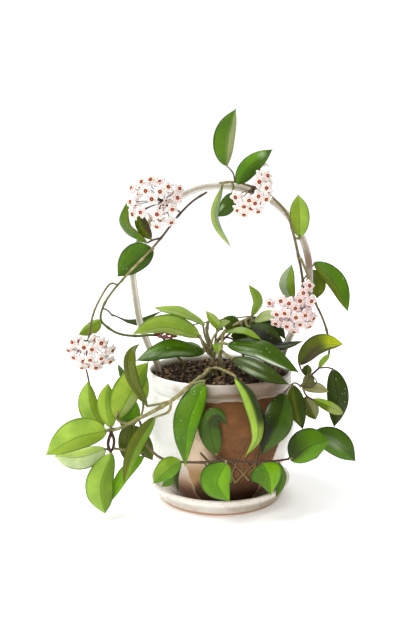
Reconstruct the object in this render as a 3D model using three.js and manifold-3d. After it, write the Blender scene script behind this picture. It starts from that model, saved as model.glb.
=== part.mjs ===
import * as THREE from 'three';
import { mergeVertices } from 'three/addons/utils/BufferGeometryUtils.js';
import Module from 'manifold-3d';

const wasm = await Module();
wasm.setup();

// Frame: millimetres, +Z up, -Y to the viewer, origin at the centre of the saucer's underside

// Pot
const POT_AXIS_X = -7;
const POT_BASE_Z = 6.3;
const POT_RIM_Z = 156.3;
const POT_SEGMENTS = 32;
const POT_PROFILE = [
  [0, POT_BASE_Z], [57, POT_BASE_Z], [61, 10], [69, 23], [79.5, 45], [88, 70], [93, 95],
  [93.3, 108], [91, 122], [86.6, 133], [84.6, 137], [86.2, 139], [86.8, 148], [86.6, 154.4],
  [85.4, POT_RIM_Z], [84.2, 156], [83.4, 154], [82.2, 139], [85.5, 120], [87, 105],
  [82, 72], [70, 40], [56, 15.5], [0, 14],
];

// Saucer
const SAUCER_SEGMENTS = 32;
const SAUCER_PROFILE = [
  [0, 0], [74.5, 0], [76, 1.6], [79.5, 7.5], [84, 16], [86.5, 20.6], [85.6, 21.8],
  [83.4, 21.4], [80, 15], [75.5, 8.4], [71, 6], [0, 6],
];

// Soil, a filling with an uneven top
const SOIL_TOP_Z = 149;
const SOIL_BUMP = 1.2;
const SOIL_SEGMENTS = 22;
const SOIL_WALL = [
  [55.2, 16.8], [69.1, 40.6], [81, 72.6], [86, 105], [84.4, 119.8], [81.2, 139], [81.8, 147],
];
const SOIL_RINGS = [56, 28];
const SOIL_FLOOR_Z = 14.5;

// Hoop, an arched strip with a groove along both faces
const HOOP_DEPTH_Y = 11;
const HOOP_WIDTH = 8;
const HOOP_THICKNESS = 4;
const HOOP_GROOVE_WIDTH = 3.6;
const HOOP_GROOVE_DEPTH = 1.1;
const HOOP_LEG_BOTTOM_Z = 100;
const HOOP_STEPS = 32;

// Stems
const ROOT_BOTTOM_Z = 114;
const ROOT_CLEARANCE = 0.5;
const STEM_SIDES = 5;
const TWIG_SIDES = 4;
const TWIG_RADIUS = 1.3;
const SEAT_GAP = 0.23;
const STEM_STEP = 14;
const PETIOLE_SIDES = 3;
const PETIOLE_RADIUS = 1.4;

// Leaves
const LEAF_THICKNESS = 1.3;
const LEAF_STATIONS = [0, 0.12, 0.34, 0.6, 0.84, 1];
const SMALL_LEAF_STATIONS = [0, 0.22, 0.62, 1];
const SMALL_LEAF = 38;
const LEAF_WIDEST = 0.45;

// Florets
const FLORET_RADIUS = 7.4;
const FLORET_NOTCH = 4;
const FLORET_CROWN = 2.4;
const FLORET_TUBE = 2;
const FLORET_CUP = 0.8;
const PEDICEL_RADIUS = 0.8;
const HUB_RADIUS = 2.6;

// View: turns a picture place (420 x 630) and a depth into a point of the frame
const VIEW_CENTRE_U = 210;
const VIEW_CENTRE_V = 315;
const VIEW_FOCAL = 750;
const VIEW_PITCH = THREE.MathUtils.degToRad(9.08);
const VIEW_EYE = new THREE.Vector3(-19, -888, 363);

function place([u, v, depth]) {
  const rise = (VIEW_CENTRE_V - v) / VIEW_FOCAL;
  const ahead = Math.cos(VIEW_PITCH) + Math.sin(VIEW_PITCH) * rise;
  const up = Math.cos(VIEW_PITCH) * rise - Math.sin(VIEW_PITCH);
  const reach = (depth - VIEW_EYE.y) / ahead;
  const x = VIEW_EYE.x + (reach * (u - VIEW_CENTRE_U)) / VIEW_FOCAL;
  return new THREE.Vector3(x, depth, VIEW_EYE.z + reach * up);
}

// Each leaf row: spine places from base to tip (u, v, depth), then for the left and right edge
// the picture width beside the spine and the depth step, left being left on the way to the tip,
// and for some the widest place as a share of the length
const STEMS = {
  stem_centre: {
    root: [-13, 4],
    vines: [
      {
        radius: [2.6, 1.8],
        path: [[213, 362, 1], [214, 352, -1], [210, 342, -3], [207, 332, -5], [208, 321, -7]],
      },
      { radius: [1.6, 1.2], path: [[213, 358, 1], [207, 350, -5], [201, 338, -9]] },
      { radius: [1.4, 1.1], path: [[213, 355, 1], [215, 343, -4], [217, 329, -9]] },
    ],
    leaves: [
      { spine: [[205, 325, -9], [181, 313, -18], [153, 307.5, -26]], left: [4, -15], right: [6, 14] },
      { spine: [[200, 337, -10], [165, 327, -22], [132, 334, -30]], left: [6, 8], right: [13, -8] },
      { spine: [[205, 352, -12], [170, 348, -32], [135, 361, -42]], left: [10, -10], right: [9, 12] },
      { spine: [[213, 343, -14], [216, 348, -23], [217, 355, -27]], left: [4, 0], right: [4, 0] },
      { spine: [[211, 326, -10], [208, 318, -14], [206, 309, -16]], left: [3.5, 3], right: [4, -3] },
      { spine: [[217, 328, -10], [222, 323, -15], [231, 321, -18]], left: [3, 3], right: [4, -4] },
      { spine: [[202, 349, 14], [184, 348, 42], [164, 351, 64]], left: [6, -8], right: [6, 10] },
    ],
  },
  stem_right: {
    root: [-3, -12],
    vines: [
      { radius: [2.4, 1.6], path: [[220, 360, -14], [221, 349, -15], [222, 340, -15], [224, 333, -14]] },
    ],
    leaves: [
      { spine: [[225, 332, -16], [243, 331, -24], [262, 340, -30]], left: [4, 12], right: [3, -8] },
      { spine: [[227, 344, -22], [262, 350, -42], [300, 373, -50]], left: [10, 13], right: [10, -12] },
      { spine: [[232, 358, -46], [258, 369, -72], [290, 385, -88]], left: [6, 9], right: [9, -9] },
    ],
  },
  stem_back: {
    root: [24, 30],
    vines: [
      { radius: [2.2, 1.5], path: [[243, 352, 28], [245, 338, 24], [250, 326, 20], [252, 318, 16]] },
    ],
    leaves: [
      { spine: [[252, 316, 12], [258, 301, 10], [248.5, 284, 8]], left: [5, -4], right: [5, 6] },
      { spine: [[254, 321, 10], [267, 315, 2], [281, 313, -2]], left: [5, 8], right: [6, -8] },
      { spine: [[250, 327, 3], [264, 331, -10], [284, 343, -16]], left: [8, 7], right: [9, -8] },
      { spine: [[243, 332, 12], [233, 322, 6], [221, 319, 2]], left: [4, -8], right: [5, 8] },
      { spine: [[256, 322, 11], [275, 324, 5], [286, 340, 1]], left: [5, 3], right: [6, -4] },
      { spine: [[252, 340, 14], [276, 346, 0], [304, 341, -6]], left: [4, 8], right: [5, -9] },
      { spine: [[247, 338, 34], [252, 334, 58], [262, 338, 82]], left: [7, 6], right: [7, -8] },
      { spine: [[249, 328, 28], [262, 325, 46], [277, 331, 62]], left: [6, 10], right: [6, -6] },
    ],
  },
  vine_front: {
    root: [-14, -13],
    vines: [
      {
        radius: [2.6, 1.7],
        path: [
          [211, 369, -20], [203, 376, -50], [195, 381.5, -79], [185, 390, -92], [171, 401, -93],
          [150, 413, -87], [130, 423, -79], [117, 429, -74], [107, 430, -72],
        ],
      },
      { radius: [1.2, 1], path: [[171, 401, -92], [159, 404, -89], [148, 406, -86]] },
      { radius: [1.2, 1], path: [[171, 402, -93], [169, 411, -96], [156, 417, -92]] },
      { radius: [1.2, 1], path: [[128, 424, -78], [119, 421, -81], [116, 417, -84]] },
      { radius: [1.2, 1], path: [[112, 430, -73], [108, 444, -78], [111, 453, -84]] },
      { radius: [1.1, 1], path: [[110, 430, -73], [117, 442, -74], [113, 452, -76], [108, 450, -70]] },
      { radius: [1.2, 1], path: [[211, 369, -20], [216, 368, -32], [225, 371, -62], [235, 376, -86]] },
    ],
    leaves: [
      {
        spine: [[204, 382.5, -89], [188, 424, -107], [185, 468, -106]],
        left: [11, 1], right: [16, 5], widest: 0.38,
      },
      {
        spine: [[235, 377, -89], [247, 394, -101], [256, 418, -110], [257, 438, -112], [245, 457, -113]],
        left: [5, 12], right: [7.5, -2],
      },
      {
        spine: [[147, 406, -89], [131, 380, -92], [127.5, 362, -92], [131, 350, -90], [141, 343, -86]],
        left: [4.5, 2], right: [9, -8],
      },
      { spine: [[143, 402, -64], [141, 381, -60], [143, 361, -56]], left: [7, 0], right: [7, 0] },
      { spine: [[122, 385, -66], [121, 375, -64], [118, 362, -62]], left: [3, 2], right: [3, -2] },
      { spine: [[116, 418, -83], [124, 394, -83], [124, 370, -78]], left: [13, 3], right: [10, 4] },
      { spine: [[111, 428, -76], [106, 404, -75], [108, 382.5, -70]], left: [9, 5], right: [10, 2] },
      { spine: [[103, 430, -68], [91, 406, -62], [88, 380, -56]], left: [13, 4], right: [8, 6] },
      { spine: [[128, 423, -70], [131, 411, -66], [133, 396, -60]], left: [9, 3], right: [9, 3] },
      { spine: [[107, 431, -80], [77, 438, -90], [45, 455.5, -86]], left: [12, -4], right: [19, 6] },
      { spine: [[106, 449, -72], [80, 457, -76], [53, 456, -72]], left: [13, -6], right: [9, 6] },
      {
        spine: [[112, 453, -86], [101, 486, -94], [105, 514, -92]],
        left: [12.5, 6], right: [16, 6], widest: 0.53,
      },
      { spine: [[144, 456, -74], [124, 477, -82], [109, 504, -84]], left: [5, 0], right: [8, 3] },
      { spine: [[155, 417, -92], [136, 447, -98], [123, 485, -98]], left: [7, 4], right: [9, 4] },
      { spine: [[130, 426, -72], [127, 441, -70], [125, 459, -68]], left: [7, 3], right: [7, 3] },
      { spine: [[136, 428, -72], [143, 444, -74], [152, 460, -72]], left: [7, 4], right: [7, 2] },
    ],
  },
  runner_front: {
    from: 'vine_front',
    vines: [
      {
        radius: [1.5, 1.2],
        path: [
          [142, 423.5, -83], [144, 436, -85], [150, 449, -90], [163, 459, -97], [177, 461.5, -99],
          [200, 462.5, -101], [222, 461, -102], [250, 462, -100], [275, 461, -95], [289, 459, -90],
        ],
      },
      { radius: [1.1, 0.9], path: [[226, 461, -102], [221, 458, -101], [217, 455, -99]] },
      { radius: [1.2, 0.9], path: [[288, 459, -90], [300, 449, -74], [314, 433, -65]] },
    ],
    leaves: [
      { spine: [[181, 461, -102], [168, 470, -106], [153, 484, -103]], left: [9, 3], right: [12, 2] },
      { spine: [[178, 470, -94], [170, 480, -92], [161, 487, -90]], left: [5, 0], right: [4, 0] },
      { spine: [[180, 466, -98], [176, 480, -98], [178, 492, -96]], left: [2.5, 3], right: [2.5, 3] },
      {
        spine: [[226, 463, -104], [217, 483, -106], [230, 502, -102]],
        left: [15, 4], right: [17, 5], widest: 0.4,
      },
      {
        spine: [[262, 463, -99], [269, 478, -101], [271, 497, -97]],
        left: [15, 5], right: [18, 4], widest: 0.3,
      },
      { spine: [[279, 463, -92], [281, 480, -90], [276, 498, -86]], left: [5, 0], right: [5, 0] },
      {
        spine: [[217, 455, -98], [212, 440, -98], [210, 424, -98], [217, 416, -100], [228, 425, -100]],
        left: [12, 2], right: [11, 2],
      },
      { spine: [[291, 461, -88], [310, 446, -85], [330, 440, -80]], left: [19, 5], right: [14, 2] },
      { spine: [[314, 432, -66], [337, 444, -62], [356, 461.5, -58]], left: [14, 5], right: [12, 0] },
    ],
  },
  vine_left: {
    root: [-52, 26],
    vines: [
      {
        radius: [1.7, 1.2],
        path: [
          [170, 350, 22], [162, 337, 10], [150, 335, -4], [138, 336, -6], [120, 334, -12], [110, 329, -14],
          [101, 320, -15], [103, 307, -14], [112, 292, -10], [125, 277, -7], [145, 256, -6],
          [161, 238, -5], [178, 216, -4], [193, 201, -3], [207, 192, -3],
        ],
      },
      { radius: [0.9, 0.8], path: [[161, 238, -5], [153, 240, -8], [147, 243, -9]] },
      { radius: [0.9, 0.8], path: [[102, 308, -14], [107, 310, -14], [112, 315, -12]] },
    ],
    leaves: [
      { spine: [[153, 249, 0], [136, 261, 1], [117, 277, 0]], left: [11, -1], right: [17, 1] },
      { spine: [[147, 243, -9], [125, 224, -14], [128, 200, -14]], left: [5, 8], right: [5, -6] },
      { spine: [[151, 239, -6], [142, 224, -4], [138, 210, -2]], left: [7, 1], right: [6, 1] },
      { spine: [[112, 315, -12], [137, 322, 30], [166, 309, 34]], left: [3, 11], right: [3, -10] },
      { spine: [[101, 320, -17], [91, 327, -20], [78, 335, -22]], left: [8, 3], right: [5, 3] },
      { spine: [[158, 336, 4], [166, 333, 2], [174, 335, 0]], left: [3, 0], right: [2.5, 0] },
    ],
  },
  vine_right: {
    root: [50, 27],
    vines: [
      {
        radius: [2, 1.3],
        path: [
          [280, 350, 26], [292, 330, 26], [301, 308, 24], [303.5, 290, 16], [301.5, 272, 5], [298, 254, 0],
          [293, 232, -4], [287, 214, -3], [276, 201, -2], [264, 191, -2], [250, 186, -3], [234, 182, -4],
          [219, 183, -4],
        ],
      },
      { radius: [1, 0.8], path: [[235, 182, -4], [233, 173, -6], [227, 166, -8]] },
      { radius: [1, 0.8], path: [[302.5, 281, 10.5], [308, 273, 19.5], [314, 264.5, 13]] },
    ],
    leaves: [
      { spine: [[226, 166, -8], [228.5, 137, -12], [236, 108, -14]], left: [15, 5], right: [6.5, 6] },
      { spine: [[237, 184, -6], [251, 166, -8], [273, 149, -11]], left: [10, 3], right: [9, 2] },
      { spine: [[232, 193, -4], [227, 206, -4], [217, 217, -3]], left: [7, 2], right: [6, 2] },
      { spine: [[222, 187, -6], [215, 218, -14], [231, 248, -16]], left: [3.5, 3], right: [4, -3] },
      { spine: [[300, 237, 1], [299, 214, 3], [298, 194, 3]], left: [9.5, 0], right: [10.5, 0] },
      { spine: [[314, 262.5, 11], [334, 283, -5], [348.5, 312.5, -12]], left: [12.5, 4], right: [6.5, 3] },
      { spine: [[309, 270, 22], [317, 284, 22], [317, 299, 19]], left: [9, 0], right: [7, 0] },
      { spine: [[292, 300, 0], [287, 284, -6], [292, 264, -8]], left: [8, 4], right: [8, -4] },
    ],
  },
  vine_droop: {
    from: 'vine_right',
    vines: [
      {
        radius: [1.5, 1.2],
        path: [
          [299, 257, 1], [301, 259, -5], [304, 266, -5], [307.5, 275, -1], [310, 285, 0],
          [312.5, 294, -4], [316, 304, -8], [321, 314.5, -11], [326, 328, -14], [329.5, 347, -21],
          [327.5, 358, -27], [319, 368, -35], [308, 378, -43], [300, 387, -50],
        ],
      },
      { radius: [1.2, 1], path: [[302, 385, -49], [306, 395, -52], [313, 400, -52]] },
      { radius: [1.1, 0.9], path: [[301, 386, -50], [294, 383, -57], [285, 392, -70]] },
      { radius: [1.1, 0.9], path: [[319, 368, -35], [327, 367.5, -33], [333, 369, -32]] },
      { radius: [1, 0.9], path: [[308, 378, -43], [302, 371, -38], [299, 364, -34]] },
    ],
    leaves: [
      { spine: [[299, 365, -34], [320, 347, -38], [344, 344, -40]], left: [13, 4], right: [6.5, 4] },
      { spine: [[319, 367, -35], [323, 361, -37], [330, 353, -38]], left: [3, 0], right: [3, 0] },
      { spine: [[333, 369, -32], [337, 398, -38], [334, 428, -38]], left: [12, 4], right: [10, 5] },
      { spine: [[313, 400, -52], [328, 407, -54], [343, 413, -54]], left: [4, 4], right: [5, -3] },
      { spine: [[309, 376, -49], [309, 382, -53], [302, 389, -57]], left: [5, 1], right: [5, 1] },
      { spine: [[305, 388, -50], [317, 388, -50], [329, 393, -50]], left: [5, 2], right: [5, -2] },
      { spine: [[293, 385, -60], [297, 407, -70], [303, 430, -74]], left: [9, 4], right: [9, 4] },
      { spine: [[305, 396, -50], [311, 409, -49], [317, 420, -48]], left: [8, 0], right: [7, 0] },
      { spine: [[285, 393, -72], [276.5, 423, -96], [261, 455, -98]], left: [16, 8], right: [15, 3] },
    ],
  },
};

// Umbels: foot of the stalk, hub, ball centre, ball radius, then the picture places of the florets
const UMBELS = {
  umbel_left: {
    from: 'vine_left',
    stalk: [[179, 211, -6], [172, 208, -11], [163, 203, -16]],
    ball: [155, 201, -20],
    radius: 30,
    florets: [
      [151, 180], [142, 182], [132, 188], [131, 202], [141, 212], [152, 199], [168, 187], [179, 189],
      [177, 198], [172, 209], [157, 214], [157, 226], [171, 222], [146, 191], [160, 192], [133, 214],
    ],
  },
  umbel_top: {
    from: 'vine_right',
    stalk: [[251, 189, -5], [251, 190, -9], [251, 190, -14]],
    ball: [252, 188, -20],
    radius: 26,
    florets: [
      [236, 197], [244, 206], [251, 208], [258, 196], [259, 182], [259, 171], [266, 188], [267, 176],
      [264, 164], [237, 208], [247, 195], [250, 183],
    ],
  },
  umbel_right: {
    from: 'vine_right',
    stalk: [[303, 284, 8], [300.5, 290, -3], [296, 299, -20]],
    ball: [292, 308, -30],
    radius: 27,
    florets: [
      [270, 303], [277, 314], [276, 323], [281, 301], [303, 293], [309, 286], [311, 301], [295, 308],
      [305, 315], [313, 318], [287, 326], [300, 324], [294, 331], [309, 326], [291, 294], [285, 313],
    ],
  },
  umbel_low: {
    from: 'vine_left',
    stalk: [[117, 283, -12], [110, 284, -24], [101, 297, -28], [93, 315, -31], [88, 341, -33]],
    ball: [91, 350, -34],
    radius: 27,
    florets: [
      [73, 342], [83, 348], [101, 343], [112, 349], [74, 356], [89, 359], [101, 357], [81, 367], [96, 367],
      [92, 346], [108, 360],
    ],
  },
};

// Solids
function toManifold(vertices, triangles) {
  const vertProperties = new Float32Array(vertices.flatMap((point) => [point.x, point.y, point.z]));
  const triVerts = new Uint32Array(triangles.flat());
  return new wasm.Manifold(new wasm.Mesh({ numProp: 3, vertProperties, triVerts }));
}

function toMesh(name, body, color) {
  const { vertProperties, triVerts } = body.getMesh();
  let geometry = new THREE.BufferGeometry();
  geometry.setAttribute('position', new THREE.BufferAttribute(new Float32Array(vertProperties), 3));
  geometry.setIndex(new THREE.BufferAttribute(new Uint32Array(triVerts), 1));
  geometry = mergeVertices(geometry, 1e-4);
  geometry.computeVertexNormals();
  const mesh = new THREE.Mesh(geometry, new THREE.MeshStandardMaterial({ color, roughness: 0.6 }));
  mesh.name = name;
  return mesh;
}

function unite(bodies) {
  let rest = bodies;
  while (rest.length > 1) {
    const next = [];
    for (let i = 0; i < rest.length; i += 2) {
      next.push(i + 1 < rest.length ? rest[i].add(rest[i + 1]) : rest[i]);
    }
    rest = next;
  }
  return withoutPockets(rest[0]);
}

// Fills the closed pockets that a union leaves between a petiole and its blade
function withoutPockets(body) {
  const shells = body.decompose().filter((shell) => shell.volume() > 0);
  return shells.reduce((sum, shell) => sum.add(shell));
}

// Rings of equal count, joined in order and closed by a cap at each end
function loft(rings) {
  const count = rings[0].length;
  const vertices = rings.flat();
  const triangles = [];
  for (let i = 0; i + 1 < rings.length; i += 1) {
    for (let j = 0; j < count; j += 1) {
      const a = i * count + j;
      const b = i * count + ((j + 1) % count);
      triangles.push([a, b, b + count], [a, b + count, a + count]);
    }
  }
  const last = (rings.length - 1) * count;
  for (let j = 1; j + 1 < count; j += 1) {
    triangles.push([0, j + 1, j], [last, last + j, last + j + 1]);
  }
  return toManifold(vertices, triangles);
}

// Body of revolution about a vertical axis, its profile starting and ending on the axis
function revolve(profile, segments, axisX) {
  const vertices = [];
  const triangles = [];
  const rings = profile.map(([radius, z]) => {
    const start = vertices.length;
    const count = radius === 0 ? 1 : segments;
    for (let j = 0; j < count; j += 1) {
      const turn = (2 * Math.PI * j) / segments;
      vertices.push(new THREE.Vector3(axisX + radius * Math.cos(turn), radius * Math.sin(turn), z));
    }
    return { start, count };
  });
  for (let i = 0; i + 1 < rings.length; i += 1) {
    const low = rings[i];
    const high = rings[i + 1];
    for (let j = 0; j < segments; j += 1) {
      const k = (j + 1) % segments;
      if (low.count > 1) {
        triangles.push([low.start + j, low.start + k, high.start + (high.count > 1 ? k : 0)]);
      }
      if (high.count > 1) {
        triangles.push([low.start + (low.count > 1 ? j : 0), high.start + k, high.start + j]);
      }
    }
  }
  return toManifold(vertices, triangles);
}

function curve(points) {
  return new THREE.CatmullRomCurve3(points, false, 'centripetal');
}

// Round stem along a path, its radius going from the first to the second value
function stem(points, [startRadius, endRadius], sides, step) {
  const line = curve(points);
  const steps = Math.max(1, Math.round(line.getLength() / step));
  const rings = [];
  let side = new THREE.Vector3(1, 0, 0);
  for (let i = 0; i <= steps; i += 1) {
    const centre = line.getPointAt(i / steps);
    const along = line.getTangentAt(i / steps);
    if (i === 0 && Math.abs(along.x) > 0.8) side.set(0, 1, 0);
    side = side.clone().addScaledVector(along, -side.dot(along)).normalize();
    const other = along.clone().cross(side);
    const radius = THREE.MathUtils.lerp(startRadius, endRadius, i / steps);
    rings.push(ringAround(centre, side, other, radius, sides));
  }
  return loft(rings);
}

function ringAround(centre, side, other, radius, sides) {
  return Array.from({ length: sides }, (_, j) => {
    const turn = (2 * Math.PI * j) / sides;
    return centre.clone()
      .addScaledVector(side, radius * Math.cos(turn))
      .addScaledVector(other, radius * Math.sin(turn));
  });
}

// Relative width of a blade along its length, 1 at its widest place
function bladeWidth(s, widest) {
  const rise = 0.62;
  const fall = rise * (1 / widest - 1);
  const peak = widest ** rise * (1 - widest) ** fall;
  return (s ** rise * (1 - s) ** fall) / peak;
}

// Rows of a blade: upper face left, middle, right, then lower face right, middle, left
function bladeRows({ spine, left, right, widest = LEAF_WIDEST }) {
  const line = curve(spine.map(place));
  const [baseU, baseV] = spine[0];
  const [tipU, tipV] = spine[spine.length - 1];
  const middle = spine[Math.floor((spine.length - 1) / 2)];
  const length = Math.hypot(tipU - baseU, tipV - baseV);
  const across = [(tipV - baseV) / length, (baseU - tipU) / length];
  const centre = place(middle);
  const sides = [[left, 1], [right, -1]].map(([[width, step], sign]) => {
    const u = middle[0] + sign * width * across[0];
    const v = middle[1] + sign * width * across[1];
    return place([u, v, middle[2] + step]).sub(centre);
  });
  const reference = line.getTangent(0.5);
  const normal = sides[0].clone().sub(sides[1]).cross(reference).normalize();
  const stations = line.getLength() < SMALL_LEAF ? SMALL_LEAF_STATIONS : LEAF_STATIONS;
  return stations.map((s) => {
    const turn = new THREE.Quaternion().setFromUnitVectors(reference, line.getTangent(s));
    const width = bladeWidth(s, widest);
    const point = line.getPoint(s);
    const [toLeft, toRight] = sides.map((side) => side.clone().applyQuaternion(turn).multiplyScalar(width));
    const lift = normal.clone().applyQuaternion(turn).multiplyScalar(LEAF_THICKNESS / 2);
    const row = width === 0 ? [point] : [point.clone().add(toLeft), point, point.clone().add(toRight)];
    const upper = row.map((spot) => spot.clone().add(lift));
    const lower = row.map((spot) => spot.clone().sub(lift));
    return [...upper, ...lower.reverse()];
  });
}

// Blade: a bent spine with a flat half to each side, of even thickness, ending in an edge at
// the base and the tip, both faces split alike
function bladeBody(row) {
  const rows = bladeRows(row);
  const starts = rows.map((_, i) => rows.slice(0, i).reduce((sum, ring) => sum + ring.length, 0));
  const triangles = [];
  for (let i = 1; i + 2 < rows.length; i += 1) {
    for (let j = 0; j < 6; j += 1) {
      const a = starts[i] + j;
      const b = starts[i] + ((j + 1) % 6);
      const c = starts[i + 1] + j;
      const d = starts[i + 1] + ((j + 1) % 6);
      if (j === 1 || j === 3) triangles.push([a, c, b], [b, c, d]);
      else triangles.push([a, d, b], [a, c, d]);
    }
  }
  const fan = (end, ring, flip) => {
    const [top, low] = [end, end + 1];
    const faces = [
      [top, ring, ring + 1], [top, ring + 1, ring + 2], [top, ring + 2, ring + 3], [top, ring + 3, low],
      [low, ring + 3, ring + 4], [low, ring + 4, ring + 5], [low, ring + 5, ring], [low, ring, top],
    ];
    for (const [a, b, c] of faces) triangles.push(flip ? [a, c, b] : [a, b, c]);
  };
  const last = rows.length - 1;
  fan(starts[0], starts[1], false);
  fan(starts[last], starts[last - 1], true);
  return toManifold(rows.flat(), triangles);
}

// Petiole from the nearest place of the stem's paths to a leaf's base
function petiole(row, paths) {
  const line = curve(row.spine.map(place));
  const base = line.getPoint(0.04);
  let nearest = null;
  for (const points of paths) {
    const path = curve(points);
    for (let i = 0; i <= 60; i += 1) {
      const point = path.getPoint(i / 60);
      if (!nearest || point.distanceTo(base) < nearest.distanceTo(base)) nearest = point;
    }
  }
  const span = nearest.distanceTo(base);
  const lean = base.clone().addScaledVector(line.getTangent(0), -Math.min(6, span * 0.4));
  const points = span > 4 ? [nearest, lean, base] : [nearest, base];
  return stem(points, [PETIOLE_RADIUS, PETIOLE_RADIUS * 0.85], PETIOLE_SIDES, 14);
}

function rootPoints([x, y]) {
  return [ROOT_BOTTOM_Z, 130, 146, SOIL_TOP_Z + 7].map((z) => new THREE.Vector3(x, y, z));
}

// Moves the first point of a side stem to just off the surface of the stem it grows from
function seat(points, radius, from) {
  let best = null;
  for (const vine of STEMS[from].vines) {
    const path = curve(vine.path.map(place));
    for (let i = 0; i <= 200; i += 1) {
      const spot = path.getPointAt(i / 200);
      const distance = spot.distanceTo(points[0]);
      const own = THREE.MathUtils.lerp(vine.radius[0], vine.radius[1], i / 200);
      if (!best || distance < best.distance) best = { spot, distance, own };
    }
  }
  const out = points[1].clone().sub(best.spot).normalize();
  points[0] = best.spot.clone().addScaledVector(out, best.own + radius * 0.4 + SEAT_GAP);
}

function leafyStem({ root, from, vines, leaves }) {
  const paths = vines.map(({ path }) => path.map(place));
  if (root) paths[0].unshift(...rootPoints(root));
  if (from) seat(paths[0], vines[0].radius[0], from);
  const bodies = vines.map(({ radius }, i) => {
    return stem(paths[i], radius, radius[0] > TWIG_RADIUS ? STEM_SIDES : TWIG_SIDES, STEM_STEP);
  });
  if (root) paths[0].splice(0, 3);
  for (const row of leaves) bodies.push(bladeBody(row), petiole(row, paths));
  return unite(bodies);
}

// Floret: a five-pointed star, raised to a crown and drawn to a tube, on a pedicel from the hub
function floret(hub, centre) {
  const out = centre.clone().sub(hub).normalize();
  const side = new THREE.Vector3(0, 0, 1).cross(out).normalize();
  const other = out.clone().cross(side);
  const vertices = Array.from({ length: 10 }, (_, j) => {
    const turn = (Math.PI * j) / 5;
    const radius = j % 2 ? FLORET_NOTCH : FLORET_RADIUS;
    return centre.clone()
      .addScaledVector(side, radius * Math.cos(turn))
      .addScaledVector(other, radius * Math.sin(turn))
      .addScaledVector(out, j % 2 ? 0 : -FLORET_CUP);
  });
  vertices.push(centre.clone().addScaledVector(out, -FLORET_TUBE));
  vertices.push(centre.clone().addScaledVector(out, FLORET_CROWN));
  const triangles = [];
  for (let j = 0; j < 10; j += 1) {
    const k = (j + 1) % 10;
    triangles.push([10, k, j], [11, j, k]);
  }
  const reach = centre.clone().addScaledVector(out, -0.4);
  const stalk = stem([hub, reach], [PEDICEL_RADIUS, PEDICEL_RADIUS], 3, 200);
  return [toManifold(vertices, triangles), stalk];
}

function umbel({ from, stalk, ball, radius, florets }) {
  const points = stalk.map(place);
  seat(points, 1.2, from);
  const hub = points[points.length - 1];
  const centre = place(ball);
  const bodies = [stem(points, [1.2, 1.4], STEM_SIDES, 8)];
  const bulb = revolve([[0, -HUB_RADIUS], [HUB_RADIUS, 0], [0, HUB_RADIUS]], 6, 0);
  bodies.push(bulb.translate(hub.toArray()));
  for (const [u, v] of florets) {
    const flat = place([u, v, ball[2]]);
    const off = Math.hypot(flat.x - centre.x, flat.z - centre.z);
    const deep = Math.min(Math.sqrt(Math.max(16, radius * radius - off * off)), radius * 0.8);
    bodies.push(...floret(hub, place([u, v, ball[2] - deep])));
  }
  return unite(bodies);
}

// Hoop: an even arch of a circle with two legs
function hoopPath() {
  const places = [
    [157.6, 366], [147.8, 344], [140, 322], [136, 299], [133, 272], [136, 250], [146, 228], [159, 211],
    [179, 197], [200, 188], [222, 186], [244, 189], [265, 197], [284.5, 212], [298, 230], [306.5, 251],
    [309.5, 272], [308.5, 293], [302, 314], [291.5, 333], [284, 350], [279, 366],
  ];
  const points = places.map(([u, v]) => place([u, v, HOOP_DEPTH_Y]));
  const first = points[0].clone().setZ(HOOP_LEG_BOTTOM_Z);
  const last = points[points.length - 1].clone().setZ(HOOP_LEG_BOTTOM_Z);
  return curve([first, ...points, last]);
}

function hoop() {
  const line = hoopPath();
  const w = HOOP_WIDTH / 2;
  const t = HOOP_THICKNESS / 2;
  const g = HOOP_GROOVE_WIDTH / 2;
  const d = t - HOOP_GROOVE_DEPTH;
  const section = [
    [-w, -t], [-g, -t], [-g, -d], [g, -d], [g, -t], [w, -t],
    [w, t], [g, t], [g, d], [-g, d], [-g, t], [-w, t],
  ];
  const rings = [];
  for (let i = 0; i <= HOOP_STEPS; i += 1) {
    const centre = line.getPointAt(i / HOOP_STEPS);
    const along = line.getTangentAt(i / HOOP_STEPS);
    const radial = new THREE.Vector3(0, 1, 0).cross(along).normalize();
    rings.push(section.map(([a, b]) => {
      return centre.clone().addScaledVector(radial, a).add(new THREE.Vector3(0, b, 0));
    }));
  }
  return loftSection(rings);
}

// Loft of the grooved section, its end caps cut to match the grooves
function loftSection(rings) {
  const count = rings[0].length;
  const vertices = rings.flat();
  const triangles = [];
  for (let i = 0; i + 1 < rings.length; i += 1) {
    for (let j = 0; j < count; j += 1) {
      const a = i * count + j;
      const b = i * count + ((j + 1) % count);
      triangles.push([a, b, b + count], [a, b + count, a + count]);
    }
  }
  const last = (rings.length - 1) * count;
  const cap = [
    [0, 1, 2], [0, 2, 9], [0, 9, 11], [9, 10, 11], [2, 3, 8], [2, 8, 9], [3, 4, 5], [3, 5, 6], [3, 6, 8],
    [6, 7, 8],
  ];
  for (const [a, b, c] of cap) {
    triangles.push([a, c, b], [last + a, last + b, last + c]);
  }
  return toManifold(vertices, triangles);
}

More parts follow.
